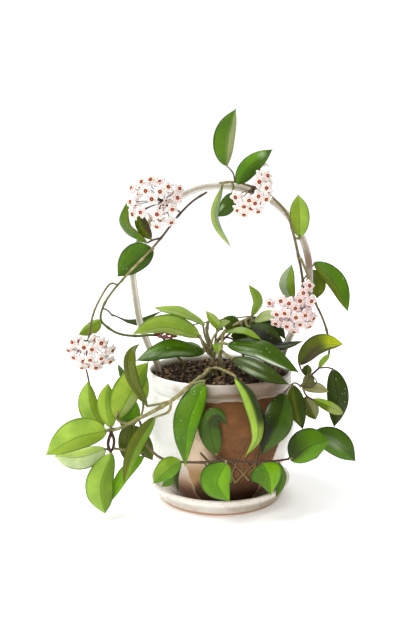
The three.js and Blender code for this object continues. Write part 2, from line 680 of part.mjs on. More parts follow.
// Soil with bumps and plain upright holes for the stems and the hoop's legs
function soil() {
  const wall = [[0, SOIL_FLOOR_Z], ...SOIL_WALL];
  const rings = SOIL_RINGS.map((radius) => [radius, SOIL_TOP_Z]);
  const raw = revolve([...wall, ...rings, [0, SOIL_TOP_Z]], SOIL_SEGMENTS, POT_AXIS_X);
  const bumpy = raw.warp((point) => {
    if (point[2] > SOIL_TOP_Z - 0.5) {
      point[2] += SOIL_BUMP * Math.sin(0.19 * point[0] + 1) * Math.cos(0.23 * point[1] - 0.4);
    }
  });
  const holes = Object.entries(STEMS)
    .filter(([, { root }]) => root)
    .map(([, { root: [x, y], vines }]) => {
      const radius = (vines[0].radius[0] + ROOT_CLEARANCE) / Math.cos(Math.PI / 8);
      return prism(x, y, ringShape(radius, 8), ROOT_BOTTOM_Z - ROOT_CLEARANCE);
    });
  const half = [HOOP_WIDTH / 2 + ROOT_CLEARANCE + 1.6, HOOP_THICKNESS / 2 + ROOT_CLEARANCE];
  const box = [[-half[0], -half[1]], [half[0], -half[1]], [half[0], half[1]], [-half[0], half[1]]];
  for (const end of [0, 1]) {
    const point = hoopPath().getPointAt(end);
    holes.push(prism(point.x, point.y, box, HOOP_LEG_BOTTOM_Z - ROOT_CLEARANCE));
  }
  return holes.reduce((body, hole) => body.subtract(hole), bumpy);
}

function ringShape(radius, sides) {
  return Array.from({ length: sides }, (_, j) => {
    const turn = (2 * Math.PI * (j + 0.5)) / sides;
    return [radius * Math.cos(turn), radius * Math.sin(turn)];
  });
}

function prism(x, y, shape, bottom) {
  const level = (z) => shape.map(([a, b]) => new THREE.Vector3(x + a, y + b, z));
  return loft([level(bottom), level(SOIL_TOP_Z + 20)]);
}

const LEAF_GREEN = 0x5b8f2a;
const PETAL_PINK = 0xf2dcdc;

const object = new THREE.Group();
object.add(toMesh('saucer', revolve(SAUCER_PROFILE, SAUCER_SEGMENTS, 0), 0xefebe2));
object.add(toMesh('pot', revolve(POT_PROFILE, POT_SEGMENTS, POT_AXIS_X), 0xb87a52));
object.add(toMesh('soil', soil(), 0x2c1d14));
object.add(toMesh('hoop', hoop(), 0xe9e6da));
for (const [name, row] of Object.entries(STEMS)) {
  object.add(toMesh(name, leafyStem(row), LEAF_GREEN));
}
for (const [name, row] of Object.entries(UMBELS)) {
  object.add(toMesh(name, umbel(row), PETAL_PINK));
}

export default object;
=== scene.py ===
"""Looks of a potted hoya: leafy vines on a plastic hoop, in a half glazed clay pot on its saucer."""

import logging
import math
from collections.abc import Sequence
from dataclasses import dataclass, field
from enum import Enum

import bpy
import numpy as np
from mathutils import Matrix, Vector


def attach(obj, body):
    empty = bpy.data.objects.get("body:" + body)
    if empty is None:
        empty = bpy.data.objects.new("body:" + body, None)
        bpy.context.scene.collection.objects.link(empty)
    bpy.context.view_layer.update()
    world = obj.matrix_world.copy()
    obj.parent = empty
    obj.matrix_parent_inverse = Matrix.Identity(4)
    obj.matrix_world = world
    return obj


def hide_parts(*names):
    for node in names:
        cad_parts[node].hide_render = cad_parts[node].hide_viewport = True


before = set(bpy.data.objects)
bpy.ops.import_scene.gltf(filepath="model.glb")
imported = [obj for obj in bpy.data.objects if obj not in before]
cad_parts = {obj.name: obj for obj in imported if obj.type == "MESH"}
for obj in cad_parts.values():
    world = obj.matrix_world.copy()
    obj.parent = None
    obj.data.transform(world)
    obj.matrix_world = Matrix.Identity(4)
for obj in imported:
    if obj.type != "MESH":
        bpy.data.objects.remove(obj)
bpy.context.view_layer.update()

MM = 0.001
Row = tuple[float, float, float]
Pair = tuple[float, float]
Colour = tuple[float, float, float]
Shades = tuple[Colour, Colour]
Socket = object
Array = np.ndarray
Material = bpy.types.Material
Piece = bpy.types.Object

# kind of mesh attribute and its value's name, by how many numbers a point has
LAYERS = {1: ("FLOAT", "value"), 3: ("FLOAT_VECTOR", "vector"), 4: ("FLOAT_COLOR", "color")}

logging.basicConfig(level=logging.INFO, format="%(message)s")
log = logging.getLogger("hoya")


# ---------------------------------------------------------------- the photograph's view

@dataclass(frozen=True)
class View:
    """The viewpoint that turns a picture place and a depth into a place in the model."""

    eye: Row = (-19.0, -888.0, 363.0)
    pitch: float = math.radians(9.08)
    focal: float = 750.0
    centre: Pair = (210.0, 315.0)
    picture_height: float = 630.0
    sensor: float = 36.0
    near: float = 0.05

    def place(self, spot: Row) -> Array:
        """Finds the point seen at a picture place.

        Args:
            spot: Picture place right and down in pixels, and the depth y in millimetres.

        Returns:
            The point in metres.
        """
        u, v, depth = spot
        rise = (self.centre[1] - v) / self.focal
        ahead = math.cos(self.pitch) + math.sin(self.pitch) * rise
        up = math.cos(self.pitch) * rise - math.sin(self.pitch)
        reach = (depth - self.eye[1]) / ahead
        x = self.eye[0] + reach * (u - self.centre[0]) / self.focal
        return np.array([x, depth, self.eye[2] + reach * up]) * MM

    def path(self, spots: Sequence[Row]) -> list[Array]:
        """Finds the points seen at several picture places."""
        return [self.place(spot) for spot in spots]

    def camera(self) -> None:
        """Makes the camera that stands at this viewpoint."""
        data = bpy.data.cameras.new("camera")
        data.lens = self.focal * self.sensor / self.picture_height
        data.sensor_width = self.sensor
        data.clip_start = self.near
        camera = bpy.data.objects.new("camera", data)
        camera.location = [value * MM for value in self.eye]
        camera.rotation_euler = (math.pi / 2 - self.pitch, 0.0, 0.0)
        bpy.context.scene.collection.objects.link(camera)
        bpy.context.scene.camera = camera


VIEW = View()


# ---------------------------------------------------------------- curves and meshes

def unit(vector: Array) -> Array:
    """Returns the vector at length one."""
    return vector / max(float(np.linalg.norm(vector)), 1e-12)


def turn_between(start: Array, end: Array) -> Array:
    """Returns the smallest turn, as a matrix, that takes one unit vector to another."""
    axis = np.cross(start, end)
    skew = np.array([[0, -axis[2], axis[1]], [axis[2], 0, -axis[0]], [-axis[1], axis[0], 0]])
    return np.eye(3) + skew + skew @ skew / (1.0 + float(start @ end))


class SmoothPath:
    """Centripetal curve through points, the same one that the solids follow."""

    def __init__(self, points: Sequence[Array]) -> None:
        """Keeps one cubic for each span between points."""
        p = np.array(points, float)
        ends = np.vstack([2 * p[0] - p[1], p, 2 * p[-1] - p[-2]])
        x0, x1, x2, x3 = ends[:-3], ends[1:-2], ends[2:-1], ends[3:]
        gaps = [np.sqrt(np.linalg.norm(b - a, axis=1))[:, None] for a, b in ((x0, x1), (x1, x2), (x2, x3))]
        d0, d1, d2 = (np.maximum(gap, 1e-5) for gap in gaps)
        t1 = ((x1 - x0) / d0 - (x2 - x0) / (d0 + d1) + (x2 - x1) / d1) * d1
        t2 = ((x2 - x1) / d1 - (x3 - x1) / (d1 + d2) + (x3 - x2) / d2) * d1
        self.cubics = np.stack([x1, t1, -3 * x1 + 3 * x2 - 2 * t1 - t2, 2 * x1 - 2 * x2 + t1 + t2], 1)
        self.samples = np.linspace(0.0, 1.0, 300)
        steps = np.linalg.norm(np.diff(self.at(self.samples), axis=0), axis=1)
        self.run = np.concatenate([[0.0], np.cumsum(steps)])

    @property
    def length(self) -> float:
        """The curve's length."""
        return float(self.run[-1])

    def at(self, shares: Array) -> Array:
        """Returns the points at shares of the curve's own parameter."""
        spans = len(self.cubics)
        place = np.clip(np.asarray(shares, float), 0, 1) * spans
        span = np.minimum(place.astype(int), spans - 1)
        w = (place - span)[..., None]
        c = self.cubics[span]
        return c[..., 0, :] + w * (c[..., 1, :] + w * (c[..., 2, :] + w * c[..., 3, :]))

    def tangent(self, shares: Array) -> Array:
        """Returns unit directions along the curve."""
        near, far = np.maximum(np.asarray(shares) - 1e-4, 0), np.minimum(np.asarray(shares) + 1e-4, 1)
        step = self.at(far) - self.at(near)
        return step / np.linalg.norm(step, axis=-1, keepdims=True)

    def even(self, count: int) -> Array:
        """Returns count points evenly spaced by length."""
        wanted = np.linspace(0.0, self.length, count)
        return self.at(np.interp(wanted, self.run, self.samples))


@dataclass
class Shell:
    """Mesh data that grows part by part and becomes one object."""

    points: list[Array] = field(default_factory=list)
    edges: list[tuple[int, int]] = field(default_factory=list)
    faces: list[tuple[int, ...]] = field(default_factory=list)
    marks: dict[str, list[Array]] = field(default_factory=dict)
    count: int = 0

    def add(self, points: Array, faces: Sequence[tuple[int, ...]], **marks: Array) -> None:
        """Adds a part.

        Args:
            points: Its points in metres.
            faces: Its faces, numbered within the part.
            **marks: Values for each point: one number, three for a place or four for a colour.
        """
        start = self.count
        self.points.append(np.asarray(points, float))
        self.faces += [tuple(start + i for i in face) for face in faces]
        for name, values in marks.items():
            self.marks.setdefault(name, []).append(np.asarray(values, float))
        self.count += len(points)

    def grid(self, rings: Array, closed: bool, caps: bool, **marks: Array) -> None:
        """Adds a skin over rings of points.

        Args:
            rings: Points as ring, place in the ring, coordinate.
            closed: Whether each ring joins its own start.
            caps: Whether the first and the last ring are filled.
            **marks: Values for each point, shaped as the rings are.
        """
        rows, columns = rings.shape[:2]
        last = columns if closed else columns - 1
        faces = []
        for i in range(rows - 1):
            for j in range(last):
                a, b = i * columns + j, i * columns + (j + 1) % columns
                faces.append((a, b, b + columns, a + columns))
        if caps:
            faces.append(tuple(reversed(range(columns))))
            faces.append(tuple(range((rows - 1) * columns, rows * columns)))
        flat = {name: values.reshape(rows * columns, *values.shape[2:]) for name, values in marks.items()}
        self.add(rings.reshape(-1, 3), faces, **flat)

    def build(self, name: str, finish: Material | None, smooth: bool = True) -> Piece:
        """Makes the object.

        Args:
            name: The object's name.
            finish: Its material, or none for a helper.
            smooth: Whether its faces are shaded as one curved surface.

        Returns:
            The linked object.
        """
        mesh = bpy.data.meshes.new(name)
        mesh.from_pydata(np.vstack(self.points).tolist(), self.edges, self.faces)
        for mark, parts in self.marks.items():
            values = np.concatenate(parts)
            kind, key = LAYERS[values.shape[1] if values.ndim == 2 else 1]
            layer = mesh.attributes.new(mark, kind, "POINT")
            layer.data.foreach_set(key, values.astype(np.float32).ravel())
        if finish:
            mesh.materials.append(finish)
        mesh.validate()
        mesh.shade_smooth() if smooth else mesh.shade_flat()
        piece = bpy.data.objects.new(name, mesh)
        bpy.context.scene.collection.objects.link(piece)
        return piece


def hand_over(piece: Piece, slot: str, *nodes: str) -> None:
    """Ties a finished piece to the frame.

    Args:
        piece: The piece.
        slot: The record's material slot; not used.
        *nodes: The solids that it stands for.
    """
    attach(piece, "root")
    if nodes:
        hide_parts(*nodes)
    triangles = sum(len(face.vertices) - 2 for face in piece.data.polygons)
    log.info("%-22s %7d triangles", piece.name, triangles)


# ---------------------------------------------------------------- node trees

def sock(side: object, key: str | int) -> Socket:
    """Returns a node's socket by its name or its number, the first one that is in use."""
    if isinstance(key, int):
        return side[key]
    return next(one for one in side if one.name == key and one.enabled)


class Tree:
    """Short calls that fill one node tree."""

    def __init__(self, tree: bpy.types.NodeTree) -> None:
        """Empties the tree."""
        self.tree = tree
        tree.nodes.clear()

    def add(self, kind: str, inputs: dict | None = None, **settings: object) -> bpy.types.Node:
        """Adds a node.

        Args:
            kind: The node's type.
            inputs: Values, sockets or nodes (for their first output), by name or number.
            **settings: The node's own properties.

        Returns:
            The node.
        """
        node = self.tree.nodes.new(kind)
        for name, value in settings.items():
            setattr(node, name, value)
        for key, value in (inputs or {}).items():
            target = sock(node.inputs, key)
            value = value.outputs[0] if isinstance(value, bpy.types.Node) else value
            if isinstance(value, bpy.types.NodeSocket):
                self.tree.links.new(value, target)
            else:
                target.default_value = value
        return node


class Paint(Tree):
    """Shader tree of one finish, with a Principled surface."""

    def __init__(self, name: str, **surface: float) -> None:
        """Makes the material; constants go on the surface's own sockets."""
        self.material = bpy.data.materials.new(name)
        self.material.use_nodes = True
        super().__init__(self.material.node_tree)
        self.surface = self.add("ShaderNodeBsdfPrincipled")
        for key, value in surface.items():
            sock(self.surface.inputs, key.replace("_", " ")).default_value = value
        out = self.add("ShaderNodeOutputMaterial")
        self.tree.links.new(self.surface.outputs[0], out.inputs[0])
        self.where = self.add("ShaderNodeTexCoord").outputs["Object"]
        self.x, self.y, self.z = self.axes(self.where)

    def feed(self, key: str, value: Socket) -> None:
        """Links a value to an input of the surface."""
        self.tree.links.new(value, sock(self.surface.inputs, key))

    def mark(self, name: str, key: str = "Fac") -> Socket:
        """Reads a value that the mesh carries."""
        return self.add("ShaderNodeAttribute", attribute_name=name).outputs[key]

    def axes(self, vector: Socket) -> list[Socket]:
        """Returns a vector's three numbers."""
        return list(self.add("ShaderNodeSeparateXYZ", {0: vector}).outputs)

    def away(self, spot: Row) -> Socket:
        """Returns the distance from a place, in metres."""
        node = self.add("ShaderNodeVectorMath", {0: self.where, 1: spot}, operation="DISTANCE")
        return node.outputs["Value"]

    def noise(self, scale: float, detail: float = 3.0, rough: float = 0.5, at: Socket = None) -> Socket:
        """Returns noise from 0 to 1 at a scale in cycles a metre."""
        inputs = {"Vector": at or self.where, "Scale": scale, "Detail": detail, "Roughness": rough}
        return self.add("ShaderNodeTexNoise", inputs).outputs[0]

    def streaks(self, vector: Socket, scales: Row) -> Socket:
        """Returns noise that is drawn out: its scale along each axis in cycles a metre."""
        drawn = self.add("ShaderNodeVectorMath", {0: vector, 1: scales}, operation="MULTIPLY")
        return self.noise(1.0, at=drawn.outputs[0])

    def calc(self, kind: str, a: object, b: object = 0.0) -> Socket:
        """Returns a math node's result."""
        return self.add("ShaderNodeMath", {0: a, 1: b}, operation=kind).outputs[0]

    def times(self, a: object, b: object) -> Socket:
        """Returns the product of two numbers."""
        return self.calc("MULTIPLY", a, b)

    def plus(self, a: object, b: object) -> Socket:
        """Returns the sum of two numbers."""
        return self.calc("ADD", a, b)

    def span(self, value: Socket, low: float, high: float, start: float = 0.0, end: float = 1.0) -> Socket:
        """Takes a value smoothly from one range to another."""
        return self.add("ShaderNodeMapRange", {0: value, 1: low, 2: high, 3: start, 4: end},
                        interpolation_type="SMOOTHSTEP").outputs[0]

    def fade(self, value: Socket, low: float, high: float) -> Socket:
        """Returns 1 where a value is below a range and 0 where it is above it."""
        return self.span(value, low, high, 1.0, 0.0)

    def mix(self, share: object, a: object, b: object, kind: str = "MIX") -> Socket:
        """Mixes two colours."""
        first, second = (one if isinstance(one, bpy.types.NodeSocket) else (*one, 1.0) for one in (a, b))
        inputs = {0: share, 6: first, 7: second}
        return self.add("ShaderNodeMix", inputs, data_type="RGBA", blend_type=kind).outputs[2]

    def tinted(self, colour: Socket, factor: Colour) -> Socket:
        """Returns a colour times a factor for each channel."""
        return self.mix(1.0, colour, factor, "MULTIPLY")

    def lay(self, body: Socket, colour: object, value: Socket, low: float, high: float, start: float = 0.0,
            end: float = 1.0) -> Socket:
        """Lays a colour over a body; its share follows the value from low to high."""
        return self.mix(self.span(value, low, high, start, end), body, colour)

    def bump(self, height: Socket, distance: float, strength: float = 1.0) -> None:
        """Roughens the surface by a height."""
        node = self.add("ShaderNodeBump", {"Height": height, "Distance": distance, "Strength": strength})
        self.feed("Normal", node.outputs[0])


class Grower(Tree):
    """Geometry tree with named inputs, run once on an object."""

    def __init__(self, name: str, inputs: dict[str, tuple[str, object]]) -> None:
        """Makes the tree and its inputs, each with its socket type and value."""
        tree = bpy.data.node_groups.new(name, "GeometryNodeTree")
        super().__init__(tree)
        tree.interface.new_socket("Geometry", in_out="INPUT", socket_type="NodeSocketGeometry")
        tree.interface.new_socket("Geometry", in_out="OUTPUT", socket_type="NodeSocketGeometry")
        self.values = {key: value for key, (_, value) in inputs.items()}
        for key, (kind, _) in inputs.items():
            tree.interface.new_socket(key, in_out="INPUT", socket_type=kind)
        self.start = self.add("NodeGroupInput").outputs

    def random(self, low: object, high: object, seed: int) -> Socket:
        """Returns a random number, or a random vector, for each element."""
        if isinstance(low, tuple):
            inputs = {0: low, 1: high, "Seed": seed}
            return self.add("FunctionNodeRandomValue", inputs, data_type="FLOAT_VECTOR").outputs[0]
        inputs = {2: low, 3: high, "Seed": seed}
        return self.add("FunctionNodeRandomValue", inputs, data_type="FLOAT").outputs[1]

    def named(self, name: str, kind: str = "FLOAT") -> Socket:
        """Reads a value that the mesh carries."""
        return self.add("GeometryNodeInputNamedAttribute", {"Name": name}, data_type=kind).outputs[0]

    def store(self, geometry: Socket, name: str, value: Socket) -> Socket:
        """Gives each instance a number to carry."""
        inputs = {"Geometry": geometry, "Name": name, "Value": value}
        return self.add("GeometryNodeStoreNamedAttribute", inputs, data_type="FLOAT",
                        domain="INSTANCE").outputs[0]

    def end(self, geometry: Socket, finish: Material, smooth: bool = True) -> None:
        """Closes the tree: real geometry, shaded, with its finish."""
        shade = self.add("GeometryNodeSetShadeSmooth", {"Geometry": geometry, "Shade Smooth": smooth})
        real = self.add("GeometryNodeRealizeInstances", {0: shade})
        dressed = self.add("GeometryNodeSetMaterial", {"Geometry": real, "Material": finish})
        out = self.add("NodeGroupOutput")
        self.tree.links.new(dressed.outputs[0], out.inputs[0])

    def run(self, piece: Piece) -> Piece:
        """Runs the tree on an object and keeps the result as a plain mesh.

        Args:
            piece: The object that the tree starts from.

        Returns:
            The same object with its new mesh.
        """
        modifier = piece.modifiers.new("grow", "NODES")
        modifier.node_group = self.tree
        for item in self.tree.interface.items_tree:
            if item.in_out == "INPUT" and item.name in self.values:
                modifier[item.identifier] = self.values[item.name]
        grown = piece.evaluated_get(bpy.context.evaluated_depsgraph_get())
        mesh = bpy.data.meshes.new_from_object(grown)
        piece.modifiers.remove(modifier)
        piece.data = mesh
        mesh.name = piece.name
        return piece


# ---------------------------------------------------------------- finishes

def tone(red: int, green: int, blue: int) -> Colour:
    """Turns a screen colour of 0 to 255 into the linear colour that the shaders use."""
    values = [value / 255 for value in (red, green, blue)]
    return tuple(v / 12.92 if v <= 0.04045 else ((v + 0.055) / 1.055) ** 2.4 for v in values)


class Tone(Enum):
    """Leaf colours, from the darkest painted shade to the palest underside, with tones for painted sheen and
    highlights.
    """

    # painted shade: the tone of leaves deep in shade
    INK = tone(28, 32, 4)
    # a dark green, partly the leaves' own and partly painted shade
    DARK = tone(51, 68, 5)
    DEEP = tone(65, 95, 9)
    LEAF = tone(80, 119, 11)
    FRESH = tone(96, 144, 10)
    BRIGHT = tone(120, 172, 12)
    MOSS = tone(87, 97, 6)
    OLIVE = tone(96, 114, 12)
    SPRING = tone(123, 156, 38)
    LIME = tone(144, 172, 51)
    PALE = tone(161, 193, 74)
    MINT = tone(185, 208, 109)
    FROST = tone(212, 228, 172)
    SAGE = tone(148, 164, 88)
    # painted sheen: the pale grey of light reflected on glossy leaves
    GREY = tone(160, 182, 144)
    # painted highlight: a crisp glint on a glossy leaf
    GLOSS = tone(226, 234, 224)
    STRAW = tone(158, 172, 112)
    YELLOW = tone(168, 178, 20)
    # painted sheen: a soft patch of reflected light
    SHEEN = tone(124, 142, 108)
    BRONZE = tone(76, 68, 32)
    DRAB = tone(93, 95, 56)
    KHAKI = tone(146, 146, 100)
    BUD = tone(146, 72, 66)


@dataclass(frozen=True)
class LeafWax:
    """Waxy leaf skin: tinted by leaf, with midrib, faint side veins, silver specks and a thin rim."""

    vein_pairs: float = 7.0
    vein_slant: float = 1.6
    vein_share: float = 0.13
    fleck_scale: float = 280.0
    fleck_rarity: float = 0.76
    silver: Colour = tone(205, 226, 196)
    shaded: Colour = (0.72, 0.78, 0.7)
    lit: Colour = (1.2, 1.16, 1.1)
    mottled: Colour = (0.72, 0.8, 0.6)
    veined: Colour = (1.5, 1.4, 1.5)
    ribbed: Colour = (0.45, 0.5, 0.4)
    rimmed: Colour = (0.3, 0.38, 0.24)

    def flecks(self, p: Paint) -> Socket:
        """Returns where silver specks show: in a few cells, on the upper face."""
        cells = p.add("ShaderNodeTexVoronoi", {"Vector": p.where, "Scale": self.fleck_scale})
        picked = p.calc("GREATER_THAN", p.axes(cells.outputs["Color"])[0], self.fleck_rarity)
        fleck = p.times(p.fade(cells.outputs["Distance"], 0.1, 0.2), picked)
        return p.times(p.times(fleck, p.mark("flecks")), p.fade(p.mark("under"), 0.0, 1.0))

    def veins(self, p: Paint, along: Socket, off: Socket) -> Socket:
        """Returns where the slanting side veins show."""
        slant = p.calc("SUBTRACT", p.times(along, self.vein_pairs), p.times(off, self.vein_slant))
        side = p.calc("ABSOLUTE", p.calc("SUBTRACT", p.calc("FRACT", slant), 0.5))
        return p.times(p.fade(side, 0.0, 0.09), p.fade(off, 0.75, 0.95))

    def make(self) -> Material:
        """Builds the material."""
        p = Paint("leaf_wax", Specular_IOR_Level=0.26, IOR=1.45)
        along, across, _ = p.axes(p.mark("blade", "Vector"))
        off, tint = p.calc("ABSOLUTE", across), p.mark("tint", "Color")
        broad, fine = p.noise(38.0), p.noise(420.0, 4.0, 0.65)
        vein = self.veins(p, along, off)
        body = p.mix(p.span(broad, 0.3, 0.72), p.tinted(tint, self.shaded), p.tinted(tint, self.lit))
        body = p.mix(p.times(p.span(fine, 0.35, 0.7), 0.5), body, p.tinted(tint, self.mottled))
        body = p.mix(p.times(vein, self.vein_share), body, p.tinted(tint, self.veined))
        body = p.mix(p.times(p.fade(off, 0.025, 0.08), 0.72), body, p.tinted(tint, self.ribbed))
        body = p.mix(self.flecks(p), body, self.silver)
        body = p.mix(p.times(p.span(off, 0.85, 0.94), 0.8), body, p.tinted(tint, self.rimmed))
        p.feed("Base Color", body)
        p.feed("Roughness", p.plus(p.times(fine, 0.12), p.plus(p.mark("dull"), 0.2)))
        height = p.plus(p.times(fine, 0.35), p.times(vein, -0.25))
        p.bump(p.plus(height, p.times(broad, 1.4)), 0.0006, 0.55)
        return p.material


@dataclass(frozen=True)
class StemBark:
    """Green stems that turn tan and brown with age."""

    green: Shades = (tone(70, 82, 30), tone(104, 112, 50))
    tan: Shades = (tone(138, 126, 80), tone(190, 180, 130))
    brown: Shades = (tone(52, 34, 26), tone(92, 64, 46))

    def make(self) -> Material:
        """Builds the material."""
        p = Paint("stem_bark", Specular_IOR_Level=0.35)
        age = p.mark("age")
        green = p.mix(p.noise(90.0), *self.green)
        tan = p.mix(p.span(p.noise(160.0, 4.0, 0.6), 0.35, 0.65), *self.tan)
        brown = p.mix(p.noise(200.0, 4.0), *self.brown)
        body = p.mix(p.span(age, 0.0, 0.5), green, tan)
        p.feed("Base Color", p.mix(p.span(age, 0.5, 1.0), body, brown))
        p.feed("Roughness", p.span(p.noise(300.0), 0.3, 0.7, 0.42, 0.66))
        p.bump(p.noise(700.0, 4.0, 0.6), 0.0004, 0.7)
        return p.material


@dataclass(frozen=True)
class PetalVelvet:
    """Velvety pale pink petals with a waxy crown, a dark red ring and a light eye."""

    petal: Shades = (tone(244, 226, 224), tone(253, 250, 248))
    pink: Shades = (tone(214, 160, 170), tone(238, 212, 216))
    blush: Colour = tone(226, 190, 196)
    crown: Shades = (tone(240, 170, 110), tone(253, 244, 226))
    ring: Colour = tone(146, 30, 20)

    def make(self) -> Material:
        """Builds the material."""
        p = Paint("petal_velvet", Sheen_Weight=0.2, Sheen_Roughness=0.4, Specular_IOR_Level=0.3)
        part, reach = p.mark("part"), p.mark("reach")
        petal = p.mix(p.span(reach, 0.3, 0.95), *self.petal)
        petal = p.mix(p.mark("flush"), petal, p.mix(p.span(reach, 0.3, 1.0), *self.pink))
        petal = p.mix(p.times(p.noise(500.0), 0.12), petal, self.blush)
        ring = p.times(p.span(reach, 0.08, 0.17), p.fade(reach, 0.48, 0.6))
        crown = p.mix(ring, p.mix(p.span(reach, 0.2, 0.75), *self.crown), self.ring)
        p.feed("Base Color", p.mix(part, petal, crown))
        p.feed("Roughness", p.span(part, 0.0, 1.0, 0.8, 0.28))
        p.bump(p.noise(1800.0, 2.0), 0.0003, 0.6)
        return p.material


@dataclass(frozen=True)
class GlazePatch:
    """A round brown patch on a glaze, with an uneven edge; the pot uses it for a stain and for painted shade.
    """

    spot: Row
    reach: Pair
    wobble: float
    strength: float
    colour: Colour

    def lay(self, p: Paint, body: Socket, grain: Socket) -> Socket:
        """Lays the patch over a body."""
        away = p.plus(p.away(self.spot), p.times(grain, self.wobble))
        return p.lay(body, self.colour, away, *self.reach, self.strength, 0.0)


@dataclass(frozen=True)
class PotSkin:
    """White glaze over bare reddish clay, with dark scratched lines."""

    warm: Shades = (tone(98, 62, 28), tone(128, 84, 48))
    char: Colour = tone(60, 34, 14)
    ember: Colour = tone(170, 108, 64)
    # the clay's own paler peach, lightened further as painted light on the left
    peach_and_light: Shades = (tone(238, 206, 178), tone(248, 224, 198))
    low_peach: Shades = (tone(166, 130, 84), tone(188, 154, 112))
    # painted shade on the clay just under the collar
    under_collar_shade: Colour = tone(112, 70, 30)
    rust: Colour = tone(130, 84, 48)
    grains: Colour = tone(238, 208, 180)
    foot: Colour = tone(70, 40, 16)
    scratch: Colour = tone(48, 28, 12)
    scratch_floor: Colour = tone(146, 118, 74)
    white: Shades = (tone(253, 252, 249), tone(243, 241, 236))
    dust: Colour = tone(218, 212, 202)
    # painted shade over the collar's front and right
    shade: GlazePatch = GlazePatch((0.045, -0.075, 0.146), (0.035, 0.115), 0.03, 0.92, tone(128, 102, 80))
    dot: GlazePatch = GlazePatch((-0.058, -0.074, 0.147), (0.004, 0.013), 0.006, 0.5, tone(176, 152, 124))
    # a brown smudge with painted shade over the collar's front middle
    blot: GlazePatch = GlazePatch((-0.024, -0.084, 0.146), (0.006, 0.03), 0.01, 0.85, tone(134, 116, 84))
    smear: Colour = tone(122, 96, 66)
    # painted shade on the glaze towards the foot
    foot_shade: Shades = (tone(122, 76, 42), tone(176, 146, 118))
    thin: Colour = tone(214, 186, 158)
    inner: Shades = (tone(206, 198, 186), tone(176, 162, 144))

    def clay(self, p: Paint, broad: Socket, fine: Socket, grit: Socket) -> Socket:
        """Returns the bare clay's colour: peach at the left, partly painted light on the lit side, warm at
        the right, with painted shade under the collar, dark in the scratches.
        """
        warm = p.mix(p.span(broad, 0.3, 0.7), *self.warm)
        warm = p.lay(warm, p.mix(0.5, warm, self.char), p.noise(340.0, 4.0, 0.62), 0.48, 0.72, 0.0, 0.5)
        warm = p.lay(warm, self.ember, p.noise(44.0), 0.5, 0.7, 0.0, 0.35)
        low = p.mix(p.span(fine, 0.4, 0.7), *self.low_peach)
        peach_and_light = p.lay(p.mix(broad, *self.peach_and_light), low, p.z, 0.05, 0.075, 1.0, 0.0)
        # painted light: the clay turns paler towards the lit lower left
        side = p.plus(p.plus(p.times(p.x, -9.0), p.times(p.z, -4.5)), p.times(broad, 0.35))
        clay = p.lay(warm, peach_and_light, side, -0.1, 0.06)
        # painted shade: the clay darkens just under the collar
        clay = p.mix(p.times(p.span(p.z, 0.112, 0.136), 0.6), clay, self.under_collar_shade)
        clay = p.lay(clay, self.rust, fine, 0.45, 0.8, 0.0, 0.35)
        clay = p.lay(clay, self.grains, grit, 0.62, 0.75, 0.0, 0.45)
        rise = p.plus(p.plus(p.z, p.times(fine, 0.006)), p.span(p.x, -0.05, -0.028, 0.03, 0.0))
        clay = p.lay(clay, self.foot, rise, 0.036, 0.058, 0.9, 0.0)
        depth = p.mark("scratch")
        clay = p.lay(clay, self.scratch, depth, 0.02, 0.3)
        return p.lay(clay, self.scratch_floor, depth, 0.55, 0.85, 0.0, 0.85)

    def glaze(self, p: Paint, broad: Socket, fine: Socket, edge: Socket) -> Socket:
        """Returns the white glaze's colour, with painted shade and brown stains on the collar and painted
        shade towards the foot.
        """
        white = p.lay(p.mix(p.span(broad, 0.35, 0.7), *self.white), self.dust, fine, 0.5, 0.85, 0.0, 0.3)
        # painted shade on the collar, then a small brown stain
        white = self.dot.lay(p, self.shade.lay(p, white, broad), fine)
        band = p.times(p.span(p.z, 0.136, 0.139), p.fade(p.z, 0.144, 0.152))
        smear = p.times(p.span(p.streaks(p.where, (14.0, 14.0, 190.0)), 0.4, 0.6, 0.0, 0.9), band)
        front = p.times(p.span(p.x, -0.07, -0.02), p.fade(p.y, -0.06, -0.03))
        # a brown smudge with painted shade on the collar's front
        white = self.blot.lay(p, p.mix(p.times(smear, front), white, self.smear), fine)
        # painted shade: the glaze browns and darkens towards the foot at the front
        rise = p.plus(p.z, p.times(fine, 0.014))
        foot_shade = p.times(p.span(rise, 0.04, 0.084, 0.95, 0.0), p.fade(p.y, -0.05, -0.02))
        white = p.mix(foot_shade, white, p.mix(p.span(p.z, 0.02, 0.05), *self.foot_shade))
        thin = p.times(p.span(edge, -0.004, 0.0), p.fade(edge, 0.0, 0.0006))
        return p.mix(p.times(thin, 0.5), white, self.thin)

    def make(self) -> Material:
        """Builds the material."""
        p = Paint("pot_skin", IOR=1.48, Specular_IOR_Level=0.4)
        broad, fine, grit = p.noise(16.0, 4.0, 0.55), p.noise(130.0, 5.0, 0.6), p.noise(900.0, 3.0, 0.7)
        edge = p.mark("edge")
        bare = p.span(edge, -0.0004, 0.0006)
        body = p.mix(bare, self.glaze(p, broad, fine, edge), self.clay(p, broad, fine, grit))
        p.feed("Base Color", p.mix(p.mark("inside"), body, p.mix(fine, *self.inner)))
        p.feed("Roughness", p.plus(p.times(bare, 0.5), p.span(fine, 0.3, 0.8, 0.26, 0.4)))
        rough = p.plus(p.times(grit, p.span(bare, 0.0, 1.0, 0.1, 0.7)), p.times(fine, 0.6))
        p.bump(rough, 0.0007, 0.6)
        return p.material


